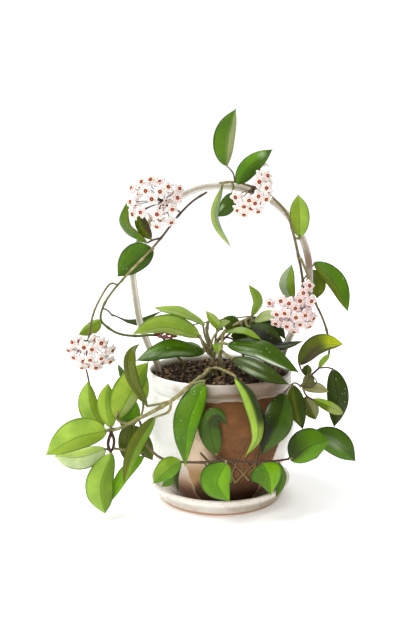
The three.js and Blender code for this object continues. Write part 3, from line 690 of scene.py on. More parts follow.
@dataclass(frozen=True)
class SaucerSkin:
    """White glaze with a bare foot line and painted shade in its well, uneven and strongest on the right."""

    white: Shades = (tone(252, 250, 244), tone(244, 240, 230))
    dust: Colour = tone(208, 196, 178)
    clay: Shades = (tone(222, 166, 126), tone(236, 190, 154))
    lip: Colour = tone(206, 178, 150)
    # painted shade in the saucer's well
    well_shade: Colour = tone(150, 126, 96)
    well_middle: Row = (-0.007, 0.0, 0.016)

    def make(self) -> Material:
        """Builds the material."""
        p = Paint("saucer_skin", IOR=1.48, Specular_IOR_Level=0.5)
        broad, fine, grit = p.noise(18.0, 4.0, 0.55), p.noise(150.0, 5.0, 0.6), p.noise(900.0, 3.0, 0.7)
        white = p.lay(p.mix(p.span(broad, 0.35, 0.7), *self.white), self.dust, fine, 0.55, 0.9, 0.0, 0.25)
        bare = p.fade(p.plus(p.z, p.times(fine, 0.0016)), 0.0036, 0.0046)
        body = p.mix(bare, white, p.mix(p.span(grit, 0.5, 0.72), *self.clay))
        reach = p.away(self.well_middle)
        lip = p.times(p.span(reach, 0.0838, 0.0856), p.span(fine, 0.3, 0.7, 0.1, 0.5))
        body = p.mix(lip, body, self.lip)
        # painted shade: uneven in the well and stronger on its right side
        well = p.fade(reach, 0.081, 0.0845)
        patchy = p.times(well, p.span(broad, 0.3, 0.7, 0.3, 0.75))
        right = p.times(p.span(p.x, -0.01, 0.05, 0.0, 0.85), well)
        p.feed("Base Color", p.mix(p.calc("MAXIMUM", patchy, right), body, self.well_shade))
        p.feed("Roughness", p.plus(p.times(bare, 0.45), p.span(fine, 0.3, 0.8, 0.25, 0.42)))
        p.bump(p.plus(p.times(grit, 0.25), fine), 0.0006, 0.5)
        return p.material


@dataclass(frozen=True)
class HoopPlastic:
    """Cream moulded plastic with faint soil stains and painted shade in its groove."""

    cream: Shades = (tone(250, 247, 238), tone(238, 232, 220))
    streak: Colour = tone(134, 108, 84)
    cloud: Colour = tone(176, 148, 122)
    # painted shade in the groove
    groove: Colour = tone(150, 130, 104)
    aged: Colour = tone(150, 122, 98)
    foot: Colour = tone(128, 104, 82)

    def make(self) -> Material:
        """Builds the material."""
        p = Paint("hoop_plastic", IOR=1.46)
        broad, fine, run = p.noise(30.0, 4.0, 0.6), p.noise(500.0), p.mark("run", "Vector")
        streak = p.span(p.streaks(run, (9.0, 700.0, 700.0)), 0.54, 0.72, 0.0, 0.5)
        body = p.mix(p.noise(80.0), *self.cream)
        body = p.mix(p.times(streak, p.span(broad, 0.35, 0.6)), body, self.streak)
        body = p.lay(body, self.cloud, broad, 0.55, 0.72, 0.0, 0.4)
        # painted shade along the groove's floor
        body = p.lay(body, self.groove, p.calc("ABSOLUTE", p.axes(run)[1]), 0.0012, 0.002, 0.4, 0.0)
        aged = p.times(p.span(p.x, 0.05, 0.1, 0.0, 0.85), p.span(broad, 0.4, 0.6, 0.5, 1.0))
        body = p.mix(p.times(aged, p.span(p.z, 0.285, 0.325, 1.0, 0.1)), body, self.aged)
        p.feed("Base Color", p.lay(body, self.foot, p.z, 0.15, 0.185, 0.6, 0.0))
        p.feed("Roughness", p.span(fine, 0.3, 0.7, 0.36, 0.5))
        p.bump(fine, 0.0002, 0.6)
        return p.material


@dataclass(frozen=True)
class Compost:
    """Dark crumbly potting soil with lighter crumbs."""

    earth: Shades = (tone(24, 17, 12), tone(66, 50, 36))
    crumb: Colour = tone(146, 122, 94)
    chip: Colour = tone(172, 128, 84)

    def make(self) -> Material:
        """Builds the material."""
        p = Paint("compost", Specular_IOR_Level=0.2)
        fine, pick = p.noise(420.0, 5.0, 0.65), p.mark("pick")
        body = p.lay(p.mix(p.span(fine, 0.3, 0.7), *self.earth), self.crumb, pick, 0.45, 0.95, 0.0, 0.95)
        p.feed("Base Color", p.lay(body, self.chip, pick, 0.93, 0.96))
        p.feed("Roughness", p.span(fine, 0.3, 0.7, 0.75, 0.95))
        p.bump(p.noise(900.0, 4.0, 0.7), 0.0012, 0.8)
        return p.material


# ---------------------------------------------------------------- pot, saucer, soil and hoop

@dataclass
class Revolved:
    """Thrown form round an upright axis, with more columns over one stretch."""

    axis_x: float = -7.0
    fine_from: float = -42.0
    fine_to: float = 62.0
    fine_step: float = 0.5
    coarse_step: float = 3.0

    def angles(self) -> Array:
        """Returns the columns' angles in radians, from the front towards +X."""
        fine = np.arange(self.fine_from, self.fine_to, self.fine_step)
        coarse = np.arange(self.fine_to, self.fine_from + 360 - 1e-6, self.coarse_step)
        return np.radians(np.concatenate([fine, coarse]))

    def outline(self, points: Sequence[Pair], step: float) -> Array:
        """Returns an even smooth line through profile points, in millimetres."""
        line = SmoothPath([np.array([r, 0.0, z]) for r, z in points])
        return line.even(max(2, round(line.length / step) + 1))[:, [0, 2]]

    def sweep(self, rows: Array) -> tuple[Array, Array, Array]:
        """Returns each point's turn, radius and height, as row and column, for a profile's rows."""
        turn = np.broadcast_to(self.angles(), (len(rows), len(self.angles())))
        return turn, np.broadcast_to(rows[:, :1], turn.shape).copy(), np.broadcast_to(rows[:, 1:], turn.shape)

    def rings(self, turn: Array, radii: Array, heights: Array) -> Array:
        """Returns points in metres for angles, radii and heights, as row and column."""
        return np.stack([self.axis_x + radii * np.sin(turn), -radii * np.cos(turn), heights], -1) * MM


@dataclass
class Stroke:
    """One scratched line: where it starts, its length, lean and bend, on the pot's side."""

    turn: float
    height: float
    length: float
    lean: float
    bend: float
    width: float = 1.7

    def line(self, radius: float) -> Array:
        """Returns points along the stroke as arc length and height, in millimetres."""
        shares = np.linspace(0.0, 1.0, 14)
        heading = np.radians(self.lean + self.bend * shares)
        step = self.length / (len(shares) - 1)
        x = math.radians(self.turn) * radius + np.cumsum(np.sin(heading)) * step
        return np.stack([x, self.height + np.cumsum(np.cos(heading)) * step], 1)


@dataclass
class Pot(Revolved):
    """Round-bellied pot: glazed collar, sides and back, and a bare clay front with grass-like scratches."""

    wall: tuple[Pair, ...] = (
        (57, 6.3), (61, 10), (69, 23), (79.5, 45), (88, 70), (93, 95), (93.3, 108), (91, 122), (86.6, 133),
        (84.6, 137), (86.2, 139), (86.8, 148), (86.6, 154.4), (85.4, 156.3), (84.2, 156), (83.4, 154),
        (82.2, 139), (85.5, 120), (87, 105), (82, 72), (70, 40), (56, 15.5),
    )
    window_left: tuple[Pair, ...] = ((8, -19), (25, -24), (45, -27.5), (75, -26.5), (95, -25), (137, -23))
    window_right: tuple[Pair, ...] = ((8, 36), (35, 40), (75, 46), (99, 50), (120, 50), (137, 47))
    outer_points: int = 15
    glazed: Pair = (7.0, 156.0)
    inner_top: float = 153.0
    window_top: float = 136.5
    scratch_depth: float = 0.7
    scratch_radius: float = 84.0
    glaze_depth: float = 0.25
    far_off: float = -20.0
    strokes: tuple[Stroke, ...] = (
        Stroke(2, 44, 40, -30, -12), Stroke(6, 36, 50, 12, 16), Stroke(11, 38, 34, 38, 14),
        Stroke(-1, 52, 22, -58, 18, 0.9), Stroke(12, 36, 42, -18, -12), Stroke(16, 50, 30, 8, 22, 0.9),
        Stroke(24, 38, 40, -34, -8), Stroke(27, 37, 46, 0, 14), Stroke(22, 48, 24, 46, -10, 0.9),
        Stroke(30, 44, 26, 30, 10), Stroke(31, 52, 20, -50, 14, 0.8),
    )

    def window(self, turn: Array, radii: Array, heights: Array) -> Array:
        """Returns how far each point lies inside the bare clay front, in millimetres."""
        degrees = np.degrees((turn + math.pi) % (2 * math.pi) - math.pi)
        wave = 1.1 * np.sin(heights * 0.11) + 0.6 * np.sin(heights * 0.31 + 1.0)
        left = np.interp(heights, *np.array(self.window_left).T)
        right = np.interp(heights, *np.array(self.window_right).T)
        inside = np.minimum(np.radians(degrees - left) * radii, np.radians(right - degrees) * radii) + wave
        top = self.window_top - heights + 0.7 * np.sin(degrees * 0.23) + 0.3 * np.sin(degrees * 0.61)
        return np.minimum(inside, top)

    def scratches(self, turn: Array, radii: Array, heights: Array) -> Array:
        """Returns the depth share of the scratched lines at each point."""
        depth = np.zeros(heights.shape)
        spots = np.stack([turn * radii, heights], -1)
        for stroke in self.strokes:
            line = stroke.line(self.scratch_radius)
            width = stroke.width * np.linspace(1.15, 0.45, len(line) - 1)
            for a, b, half in zip(line[:-1], line[1:], width):
                along = np.clip(((spots - a) @ (b - a)) / float((b - a) @ (b - a)), 0, 1)
                off = np.linalg.norm(spots - a - along[..., None] * (b - a), axis=-1)
                depth = np.maximum(depth, np.clip(1.5 - off / half, 0, 1))
        return depth

    def build(self) -> None:
        """Builds and dresses the pot."""
        outer = self.outline(self.wall[:self.outer_points], 1.0)
        inner = self.outline(self.wall[self.outer_points - 1:], 3.0)[1:]
        turn, radii, heights = self.sweep(np.vstack([outer, inner]))
        outward = (np.arange(len(heights)) < len(outer))[:, None]
        outside = outward & (heights > self.glazed[0]) & (heights < self.glazed[1])
        radii += outside * (0.16 * np.sin(heights * 1.15) + 0.1 * np.sin(heights * 0.43 + turn * 2))
        bare = np.where(outside, self.window(turn, radii, heights), self.far_off)
        front = outside & (turn > math.radians(self.fine_from)) & (turn < math.radians(self.fine_to))
        cut = np.where(front, self.scratches(turn, radii, heights), 0.0) * (bare > 1)
        radii -= self.scratch_depth * cut + self.glaze_depth * np.clip(bare + 0.5, 0, 1)
        inside = (~outward & (heights < self.inner_top)).astype(float)
        shell = Shell()
        shell.grid(self.rings(turn, radii, heights), True, True, edge=bare * MM, scratch=cut, inside=inside)
        hand_over(shell.build("pot_thrown", PotSkin().make()), "pot", "pot")


@dataclass
class Saucer(Revolved):
    """Deep round saucer under the pot."""

    fine_from: float = -100.0
    fine_to: float = 100.0
    fine_step: float = 1.2
    wall: tuple[Pair, ...] = (
        (74.5, 0), (76, 1.6), (79.5, 7.5), (84, 16), (86.5, 20.6), (85.6, 21.8), (83.4, 21.4), (80, 15),
        (75.5, 8.4), (71, 6),
    )

    def build(self) -> None:
        """Builds and dresses the saucer."""
        turn, radii, heights = self.sweep(self.outline(self.wall, 0.8))
        high = np.clip((heights - 3) / 18, 0, 1)
        radii += high * (0.22 * np.sin(3 * turn + 1) + 0.12 * np.sin(heights * 1.6))
        shell = Shell()
        shell.grid(self.rings(turn, radii, heights), True, True)
        hand_over(shell.build("saucer_thrown", SaucerSkin().make()), "saucer", "saucer")


@dataclass
class Soil:
    """Compost bed with loose granules on top."""

    axis_x: float = -7.0
    top: float = 148.4
    radius: float = 81.4
    wall: tuple[Pair, ...] = ((81.2, 139), (84.4, 119.8), (86, 105), (81, 72.6), (69.1, 40.6), (55.2, 16.8))
    bed_rings: int = 44
    crumb_rings: int = 30
    crumb_margin: float = 2.2
    crumb_radius: float = 3.3
    crumbs_a_metre2: float = 46000.0
    crumb_size: tuple[Row, Row] = ((0.35, 0.35, 0.3), (1.15, 1.0, 0.8))
    lump_scale: float = 420.0
    lump_height: float = 0.0032
    seed: int = 7

    def height(self, x: Array, y: Array) -> Array:
        """Returns the bed's height at places in millimetres."""
        bump = 1.1 * np.sin(0.19 * x + 1) * np.cos(0.23 * y - 0.4)
        return self.top + bump + 0.5 * np.sin(0.9 * x + 0.4 * y) * np.sin(0.8 * y - 0.5 * x)

    def ring(self, radius: float, step: float, height: float | None = None) -> Array:
        """Returns a ring of points in millimetres, on the bed's surface if no height is given."""
        turn = np.radians(np.arange(0, 360, step))
        x, y = radius * np.sin(turn), -radius * np.cos(turn)
        z = self.height(x, y) if height is None else np.full(len(turn), height)
        return np.stack([x + self.axis_x, y, z], 1)

    def build(self) -> None:
        """Builds the bed and strews it with granules, which are a piece of their own."""
        finish = Compost().make()
        rings = [self.ring(radius, 3.0) for radius in np.linspace(1.5, self.radius, self.bed_rings)]
        rings += [self.ring(radius, 3.0, z) for radius, z in self.wall]
        rings = np.array(rings[::-1]) * MM
        shell = Shell()
        shell.grid(rings, True, True, pick=np.full(rings.shape[:2], 0.3))
        hand_over(shell.build("soil_bed", finish), "soil", "soil")
        self.strew(finish)

    def strew(self, finish: Material) -> None:
        """Strews granules of many sizes over the bed."""
        top = Shell()
        radii = np.linspace(2.0, self.radius - self.crumb_margin, self.crumb_rings)
        rings = [self.ring(radius, 6.0) for radius in radii]
        top.grid(np.array(rings[::-1]) * MM, True, False)
        piece = top.build("soil_crumbs", finish)
        g = Grower("strew_crumbs", {"Density": ("NodeSocketFloat", self.crumbs_a_metre2),
                                    "Crumb Radius": ("NodeSocketFloat", self.crumb_radius * MM),
                                    "Seed": ("NodeSocketInt", self.seed)})
        spots = g.add("GeometryNodeDistributePointsOnFaces", {
            "Mesh": g.start["Geometry"], "Density": g.start["Density"], "Seed": g.start["Seed"]})
        ball = g.add("GeometryNodeMeshIcoSphere", {"Radius": g.start["Crumb Radius"], "Subdivisions": 2})
        rough = g.add("ShaderNodeTexNoise", {"Scale": self.lump_scale, "Detail": 2.0}, noise_dimensions="3D")
        push = g.add("ShaderNodeVectorMath", {0: rough.outputs["Color"], 1: (0.5, 0.5, 0.5)},
                     operation="SUBTRACT")
        push = g.add("ShaderNodeVectorMath", {0: push, "Scale": self.lump_height}, operation="SCALE")
        lump = g.add("GeometryNodeSetPosition", {"Geometry": ball, "Offset": push})
        spin = g.random((0.0, 0.0, 0.0), (6.28, 6.28, 6.28), 5)
        turned = g.add("FunctionNodeEulerToRotation", {0: spin})
        strewn = g.add("GeometryNodeInstanceOnPoints", {
            "Points": spots, "Instance": lump, "Rotation": turned, "Scale": g.random(*self.crumb_size, 3)})
        g.end(g.store(strewn, "pick", g.random(0.0, 1.0, 11)), finish, smooth=False)
        hand_over(g.run(piece), "soil")


@dataclass
class Hoop:
    """Grooved plastic strip bent to an arch, both legs in the soil."""

    depth: float = 11.0
    width: float = 8.0
    thickness: float = 4.0
    groove: float = 3.6
    groove_depth: float = 1.1
    groove_slope: float = 0.3
    groove_edge: float = 0.4
    corner: float = 0.7
    leg_bottom: float = 100.0
    steps: int = 150
    places: tuple[Pair, ...] = (
        (157.6, 366), (147.8, 344), (140, 322), (136, 299), (133, 272), (136, 250), (146, 228), (159, 211),
        (179, 197), (200, 188), (222, 186), (244, 189), (265, 197), (284.5, 212), (298, 230), (306.5, 251),
        (309.5, 272), (308.5, 293), (302, 314), (291.5, 333), (284, 350), (279, 366),
    )

    def section(self) -> list[Pair]:
        """Returns the grooved section with its rounded corners, in millimetres."""
        w, t, g, r = self.width / 2, self.thickness / 2, self.groove / 2, self.corner
        deep, soft, edge = t - self.groove_depth, self.corner * 0.3, self.groove_edge
        left = [(-w, -t + r), (-w + soft, -t + soft), (-w + r, -t), (-g - edge, -t), (-g, -t + edge),
                (-g + self.groove_slope, -deep)]
        side = left + [(-a, b) for a, b in reversed(left)]
        return side + [(-a, -b) for a, b in side]

    def build(self) -> None:
        """Builds and dresses the hoop."""
        points = [VIEW.place((u, v, self.depth)) for u, v in self.places]
        first, last = points[0].copy(), points[-1].copy()
        first[2] = last[2] = self.leg_bottom * MM
        line = SmoothPath([first, *points, last])
        centres = line.even(self.steps + 1)
        ways = np.gradient(centres, axis=0)
        rings, run = [], []
        for number, (centre, way) in enumerate(zip(centres, ways)):
            out = unit(np.cross([0.0, 1.0, 0.0], unit(way)))
            rings.append([centre + (out * a + np.array([0.0, b, 0.0])) * MM for a, b in self.section()])
            run.append([(line.length * number / self.steps, a * MM, b * MM) for a, b in self.section()])
        shell = Shell()
        shell.grid(np.array(rings), True, True, run=np.array(run))
        piece = shell.build("hoop_strip", HoopPlastic().make())
        piece.data.set_sharp_from_angle(angle=math.radians(50))
        hand_over(piece, "hoop", "hoop")


# ---------------------------------------------------------------- leaves and stems

class Face(Enum):
    """Which face of a leaf the photograph shows."""

    UPPER = 0
    UNDER = 1


@dataclass(frozen=True)
class Blot:
    """A soft-edged stretch of a leaf's seen face in another tone, by its range along and across: a patch of
    the leaf's own colour, a painted shadow or a painted highlight.
    """

    tint: Tone
    along: Pair
    across: Pair
    soft: float = 0.12

    def ramp(self, inward: Array) -> Array:
        """Returns the share of the blot for how far points lie inside one of its edges."""
        return np.clip(inward / self.soft + 0.5, 0, 1)

    def share(self, blade: Array) -> Array:
        """Returns how strongly the blot shows at each point of the blade.

        An edge at the blade's own end has no ramp, and a low edge on the left half has a steeper one.
        """
        total = np.ones(blade.shape[:-1])
        for axis, (low, high), end in ((0, self.along, 0.0), (1, self.across, -1.0)):
            if low > end:
                total = total * self.ramp(blade[..., axis] - low)
            if high < 1:
                total = total * self.ramp(high - blade[..., axis])
        if self.across[0] > 0:
            total = total * self.ramp(blade[..., 1] - self.across[0])
        return total[..., None]


@dataclass(frozen=True)
class Leaf:
    """One leaf: its spine from base to tip, its widths with their depth steps, and its look.

    The spine is in picture places and depths; left and right are the picture width beside the
    spine and the depth step there, left being left on the way to the tip.
    """

    spine: tuple[Row, ...]
    left: Pair
    right: Pair
    tint: Tone
    # the other half's tint: partly the leaf's own colour, partly painted light and shade across the fold
    other: Tone | None = None
    face: Face = Face.UPPER
    dull: float = 0.12
    flecks: float = 0.25
    widest: float = 0.45
    # blots include painted shadows and painted highlights
    blots: tuple[Blot, ...] = ()

    def line(self) -> SmoothPath:
        """Returns the spine as a curve."""
        return SmoothPath(VIEW.path(self.spine))


@dataclass(frozen=True)
class Vine:
    """One stem: radius at its start and end in millimetres, and its path in picture places and depths."""

    radius: Pair
    path: tuple[Row, ...]
    age: tuple[float, ...] | None = None


@dataclass
class LeafShape:
    """Rule for a hoya leaf's blade, thick and waxy, with a short point."""

    thickness: float = 1.25
    edge: float = 0.09
    full_half: float = 0.03
    stations: int = 30
    columns: int = 15
    rise: float = 0.62
    crown: float = 0.05
    wave: float = 0.035
    waves: Pair = (2.2, 3.6)
    point: float = 0.08
    groove: float = 0.22
    groove_width: float = 0.07
    stub: float = 0.75
    seam: float = 7.0
    hidden_share: float = 0.65
    bud_girth: float = 0.52

    def width(self, shares: Array, widest: float) -> Array:
        """Returns the relative width along the blade."""
        fall = self.rise * (1 / widest - 1)
        peak = widest ** self.rise * (1 - widest) ** fall
        point = 1.0 - np.exp(-(1.0 - shares) / self.point)
        return shares ** self.rise * (1 - shares) ** fall / peak * point

    def sides(self, leaf: Leaf) -> list[Array]:
        """Returns the steps from the spine's middle to the left and the right edge, in metres."""
        base, tip = np.array(leaf.spine[0][:2]), np.array(leaf.spine[-1][:2])
        middle = leaf.spine[(len(leaf.spine) - 1) // 2]
        length = float(np.linalg.norm(tip - base))
        across = np.array([(tip[1] - base[1]) / length, (base[0] - tip[0]) / length])
        steps = []
        for (width, step), sign in ((leaf.left, 1), (leaf.right, -1)):
            u, v = np.array(middle[:2]) + sign * width * across
            steps.append(VIEW.place((u, v, middle[2] + step)) - VIEW.place(middle))
        return steps

    def rings(self, leaf: Leaf, shares: Array, columns: Array, seed: int) -> Array:
        """Returns the blade's closed rings, the hidden face first.

        Args:
            leaf: The leaf.
            shares: Places of the rings from base to tip.
            columns: Places across, from the right edge to the left one.
            seed: Number that varies the waves.

        Returns:
            Points in metres as ring, place in the ring, coordinate.
        """
        line, sides = leaf.line(), self.sides(leaf)
        reference, widths = line.tangent(np.array(0.5)), np.maximum(self.width(shares, leaf.widest), 0.0)
        normal = unit(np.cross(sides[0] - sides[1], reference))
        half = 0.5 * (np.linalg.norm(sides[0]) + np.linalg.norm(sides[1]))
        thick = self.thickness * MM * min(1.0, 0.55 + half / self.full_half)
        rng = np.random.default_rng(seed)
        phase, count = rng.uniform(0, 2 * np.pi, 2), rng.uniform(*self.waves, 2)
        rings = []
        for share, width, centre, way in zip(shares, widths, line.at(shares), line.tangent(shares)):
            turn = turn_between(reference, way)
            up, edges = turn @ normal, [turn @ side * width for side in sides]
            swell = thick / 2 * min(1.0, 0.35 + 3 * min(share, 1 - share))
            seen, away = [], []
            for c in columns:
                side = 0 if c > 0 else 1
                ripple = np.sin(count[side] * 2 * np.pi * share + phase[side]) * abs(c) ** 3
                arch = self.crown * (1 - (2 * abs(c) - 1) ** 2)
                groove = self.groove * MM * math.exp(-(c / self.groove_width) ** 2)
                height = (self.wave * ripple - arch) * half * width + groove
                spot = centre + edges[side] * abs(c) + up * height
                lift = up * max(self.edge * MM, swell * (1 - abs(c) ** 5) ** 0.5)
                seen.append(spot - lift)
                away.append(spot + lift)
            rings.append(away + seen[::-1])
        rings = np.array(rings)
        foot = rings[2] - rings[2].mean(0)
        rings[0] = rings[0].mean(0) + foot / max(np.linalg.norm(foot, axis=1).max(), 1e-9) * self.stub * MM
        return rings

    def blade(self, leaf: Leaf, shell: Shell, seed: int) -> None:
        """Adds a leaf's blade to a shell.

        Args:
            leaf: The leaf.
            shell: The shell that it joins.
            seed: Number that varies this leaf's waves.
        """
        ends, even = np.linspace(0.0, 1.0, self.stations), np.linspace(-1, 1, self.columns)
        shares = 0.55 * (0.5 - 0.5 * np.cos(np.pi * ends)) + 0.45 * ends
        columns = 0.5 * np.sin(even * np.pi / 2) + 0.5 * even
        rings = self.rings(leaf, shares, columns, seed)
        blade = np.zeros(rings.shape)
        blade[..., 0], blade[..., 1] = shares[:, None], np.concatenate([columns, columns[::-1]])
        under = np.full(rings.shape[:2], 1.0 - leaf.face.value)
        under[:, self.columns:] = leaf.face.value
        shell.grid(rings, True, True, blade=blade, under=under, tint=self.tints(leaf, blade, under),
                   dull=np.full(under.shape, leaf.dull), flecks=np.full(under.shape, leaf.flecks))

    def bud(self, spot: Array, way: Array, size: float, shell: Shell) -> None:
        """Adds a closed flower bud, pointed at its tip.

        Args:
            spot: Its middle in metres.
            way: The direction of its tip.
            size: Its half length in metres.
            shell: The shell that it joins.
        """
        way = unit(way)
        side = unit(np.cross(way, [0.3, 0.2, 1.0]))
        other = np.cross(way, side)
        turn = np.linspace(0, 2 * np.pi, 12, endpoint=False)
        rings = []
        for share in np.linspace(-0.98, 0.98, 9):
            taper = math.sqrt(1 - share * share) * (1 - 0.25 * share)
            girth = size * self.bud_girth * taper * (1 + 0.06 * np.cos(5 * turn))
            round_it = np.outer(np.cos(turn) * girth, side) + np.outer(np.sin(turn) * girth, other)
            rings.append(spot + way * share * size + round_it)
        shape = (len(rings), len(turn))
        shell.grid(np.array(rings), True, True, blade=np.zeros((*shape, 3)) + [0.5, 0.5, 0],
                   under=np.zeros(shape), tint=np.tile([*Tone.BUD.value, 1.0], (*shape, 1)),
                   dull=np.full(shape, 0.2), flecks=np.zeros(shape))

    def tints(self, leaf: Leaf, blade: Array, under: Array) -> Array:
        """Returns each point's colour: the seen face's tints with their painted light and shade, and a
        fitting one on the hidden face.
        """
        # the halves' tints and the blots paint the fold's light and shade, shadows and highlights along with
        # the leaves' own colours
        share = np.clip(blade[..., 1:2] * self.seam + 0.5, 0, 1)
        front = share * np.array(leaf.tint.value) + (1 - share) * np.array((leaf.other or leaf.tint).value)
        for blot in leaf.blots:
            part = blot.share(blade)
            front = part * np.array(blot.tint.value) + (1 - part) * front
        hidden = Tone.LEAF if leaf.face is Face.UNDER else Tone.SPRING
        back = self.hidden_share * np.array(hidden.value) + (1 - self.hidden_share) * front
        colour = np.where((under == leaf.face.value)[..., None], front, back)
        return np.concatenate([colour, np.ones((*colour.shape[:2], 1))], -1)


@dataclass
class StemWeaver(Shell):
    """Draws round stems along paths, with swollen nodes, in one tree of geometry nodes."""

    sides: int = 12
    step: float = 1.6
    node_gap: float = 0.034
    node_swell: float = 0.32
    node_width: float = 0.0024
    bare_end: float = 0.006

    def strand(self, points: list[Array], radius: Pair, age: Sequence[float], knots: bool = False) -> None:
        """Adds a strand.

        Args:
            points: Its path in metres.
            radius: Radius at its start and end in millimetres.
            age: How woody it is at even steps from its start to its end, 0 green to 1 dark brown.
            knots: Whether it has swollen nodes.
        """
        line = SmoothPath(points)
        count = max(3, round(line.length / (self.step * MM)) + 1)
        run = np.linspace(0.0, 1.0, count)
        girth = (radius[0] + (radius[1] - radius[0]) * run) * MM
        if knots and line.length > self.node_gap * 1.4:
            for spot in np.arange(self.node_gap * 0.8, line.length - self.bare_end, self.node_gap):
                off = (run * line.length - spot) / self.node_width
                girth = girth * (1 + self.node_swell * np.exp(-off ** 2))
        self.edges += [(self.count + i, self.count + i + 1) for i in range(count - 1)]
        age = np.interp(run, np.linspace(0.0, 1.0, len(age)), age)
        self.add(line.even(count), [], girth=girth, age=age)

    def grow(self, name: str, finish: Material) -> Piece:
        """Turns the strands into one mesh of round stems with their finish."""
        g = Grower("round_stems", {"Sides": ("NodeSocketInt", self.sides), "Girth": ("NodeSocketFloat", 1.0)})
        paths = g.add("GeometryNodeMeshToCurve", {"Mesh": g.start["Geometry"]})
        ring = g.add("GeometryNodeCurvePrimitiveCircle", {"Resolution": g.start["Sides"], "Radius": 1.0})
        scaled = g.add("ShaderNodeMath", {0: g.named("girth"), 1: g.start["Girth"]}, operation="MULTIPLY")
        skin = g.add("GeometryNodeCurveToMesh", {
            "Curve": paths, "Profile Curve": ring, "Scale": scaled, "Fill Caps": True})
        g.end(skin, finish)
        return g.run(self.build(name, None))


def nearest(paths: list[list[Array]], spot: Array) -> Array:
    """Returns the point on the stems' paths that lies nearest to a spot."""
    points = np.vstack([SmoothPath(path).at(np.linspace(0, 1, 61)) for path in paths])
    return points[np.argmin(np.linalg.norm(points - spot, axis=1))]


@dataclass
class LeafyStem:
    """One planted or branching stem with its side shoots and leaves."""

    name: str
    vines: tuple[Vine, ...]
    leaves: tuple[Leaf, ...]
    root: Pair | None = None
    grows_from: str | None = None
    age: tuple[float, ...] = (0.45, 0.12)
    petiole_age: Pair = (0.3, 0.1)
    buds: tuple[tuple[Row, Row, float], ...] = ()
    petiole_radius: float = 1.5
    root_bottom: float = 114.0
    root_knots: Pair = (130.0, 146.0)
    root_top: float = 156.0
    seat_gap: float = 0.23

    def paths(self) -> list[list[Array]]:
        """Returns the stems' paths in metres, as they grow out of the soil."""
        return [VIEW.path(vine.path) for vine in self.vines]

    def rooted(self) -> list[Array]:
        """Returns the points of the root part below the main path."""
        heights = (self.root_bottom, *self.root_knots, self.root_top)
        return [np.array([*self.root, z]) * MM for z in heights]

    def petiole(self, leaf: Leaf, paths: list[list[Array]]) -> list[Array]:
        """Returns a leaf stalk's path, from the nearest stem to the leaf's base."""
        line = leaf.line()
        base = line.at(np.array(0.04))
        foot = nearest(paths, base)
        span = float(np.linalg.norm(foot - base))
        if span <= 4 * MM:
            return [foot, base]
        lean = base - line.tangent(np.array(0.0)) * min(6 * MM, span * 0.4)
        return [foot, lean, base]

    def build(self, shape: LeafShape, wax: Material, bark: Material,
              others: dict[str, "LeafyStem"]) -> None:
        """Builds the stem with its leaves.

        Args:
            shape: The blade's rule.
            wax: The leaves' material.
            bark: The stems' material.
            others: All stems by name, for one that grows from another.
        """
        paths = self.paths()
        if self.grows_from:
            seat_strand(paths[0], self.vines[0].radius[0], others[self.grows_from], self.seat_gap)
        weaver = StemWeaver()
        for index, (vine, points) in enumerate(zip(self.vines, paths)):
            start = self.rooted() if self.root and index == 0 else []
            weaver.strand(start + points, vine.radius, vine.age or self.age, knots=index == 0)
        if self.root:
            paths[0].insert(0, self.rooted()[-1])
        shell = Shell()
        for number, leaf in enumerate(self.leaves):
            shape.blade(leaf, shell, 31 * number + sum(map(ord, self.name)))
            radius = (self.petiole_radius, self.petiole_radius * 0.9)
            weaver.strand(self.petiole(leaf, paths), radius, self.petiole_age)
        for spot, way, size in self.buds:
            middle = VIEW.place(spot)
            shape.bud(middle, np.array(way), size * MM, shell)
            foot = nearest(paths, middle)
            bend = (foot + middle) / 2 + np.array([0.0, 0.0, 2 * MM])
            weaver.strand([foot, bend, middle], (0.5, 0.4), (0.9, 0.95))
        hand_over(shell.build(self.name + "_leaves", wax), "plant", self.name)
        hand_over(weaver.grow(self.name + "_stems", bark), "plant", self.name)


def seat_strand(points: list[Array], radius: float, parent: LeafyStem, gap: float) -> None:
    """Moves a side stem's first point to just off the surface of the stem that it grows from."""
    best = None
    for vine, path in zip(parent.vines, parent.paths()):
        spots = SmoothPath(path).even(201)
        off = np.linalg.norm(spots - points[0], axis=1)
        index = int(np.argmin(off))
        own = vine.radius[0] + (vine.radius[1] - vine.radius[0]) * index / 200
        if best is None or off[index] < best[0]:
            best = (off[index], spots[index], own)
    out = unit(points[1] - best[1])
    points[0] = best[1] + out * (best[2] + radius * 0.4 + gap) * MM


# ---------------------------------------------------------------- flowers

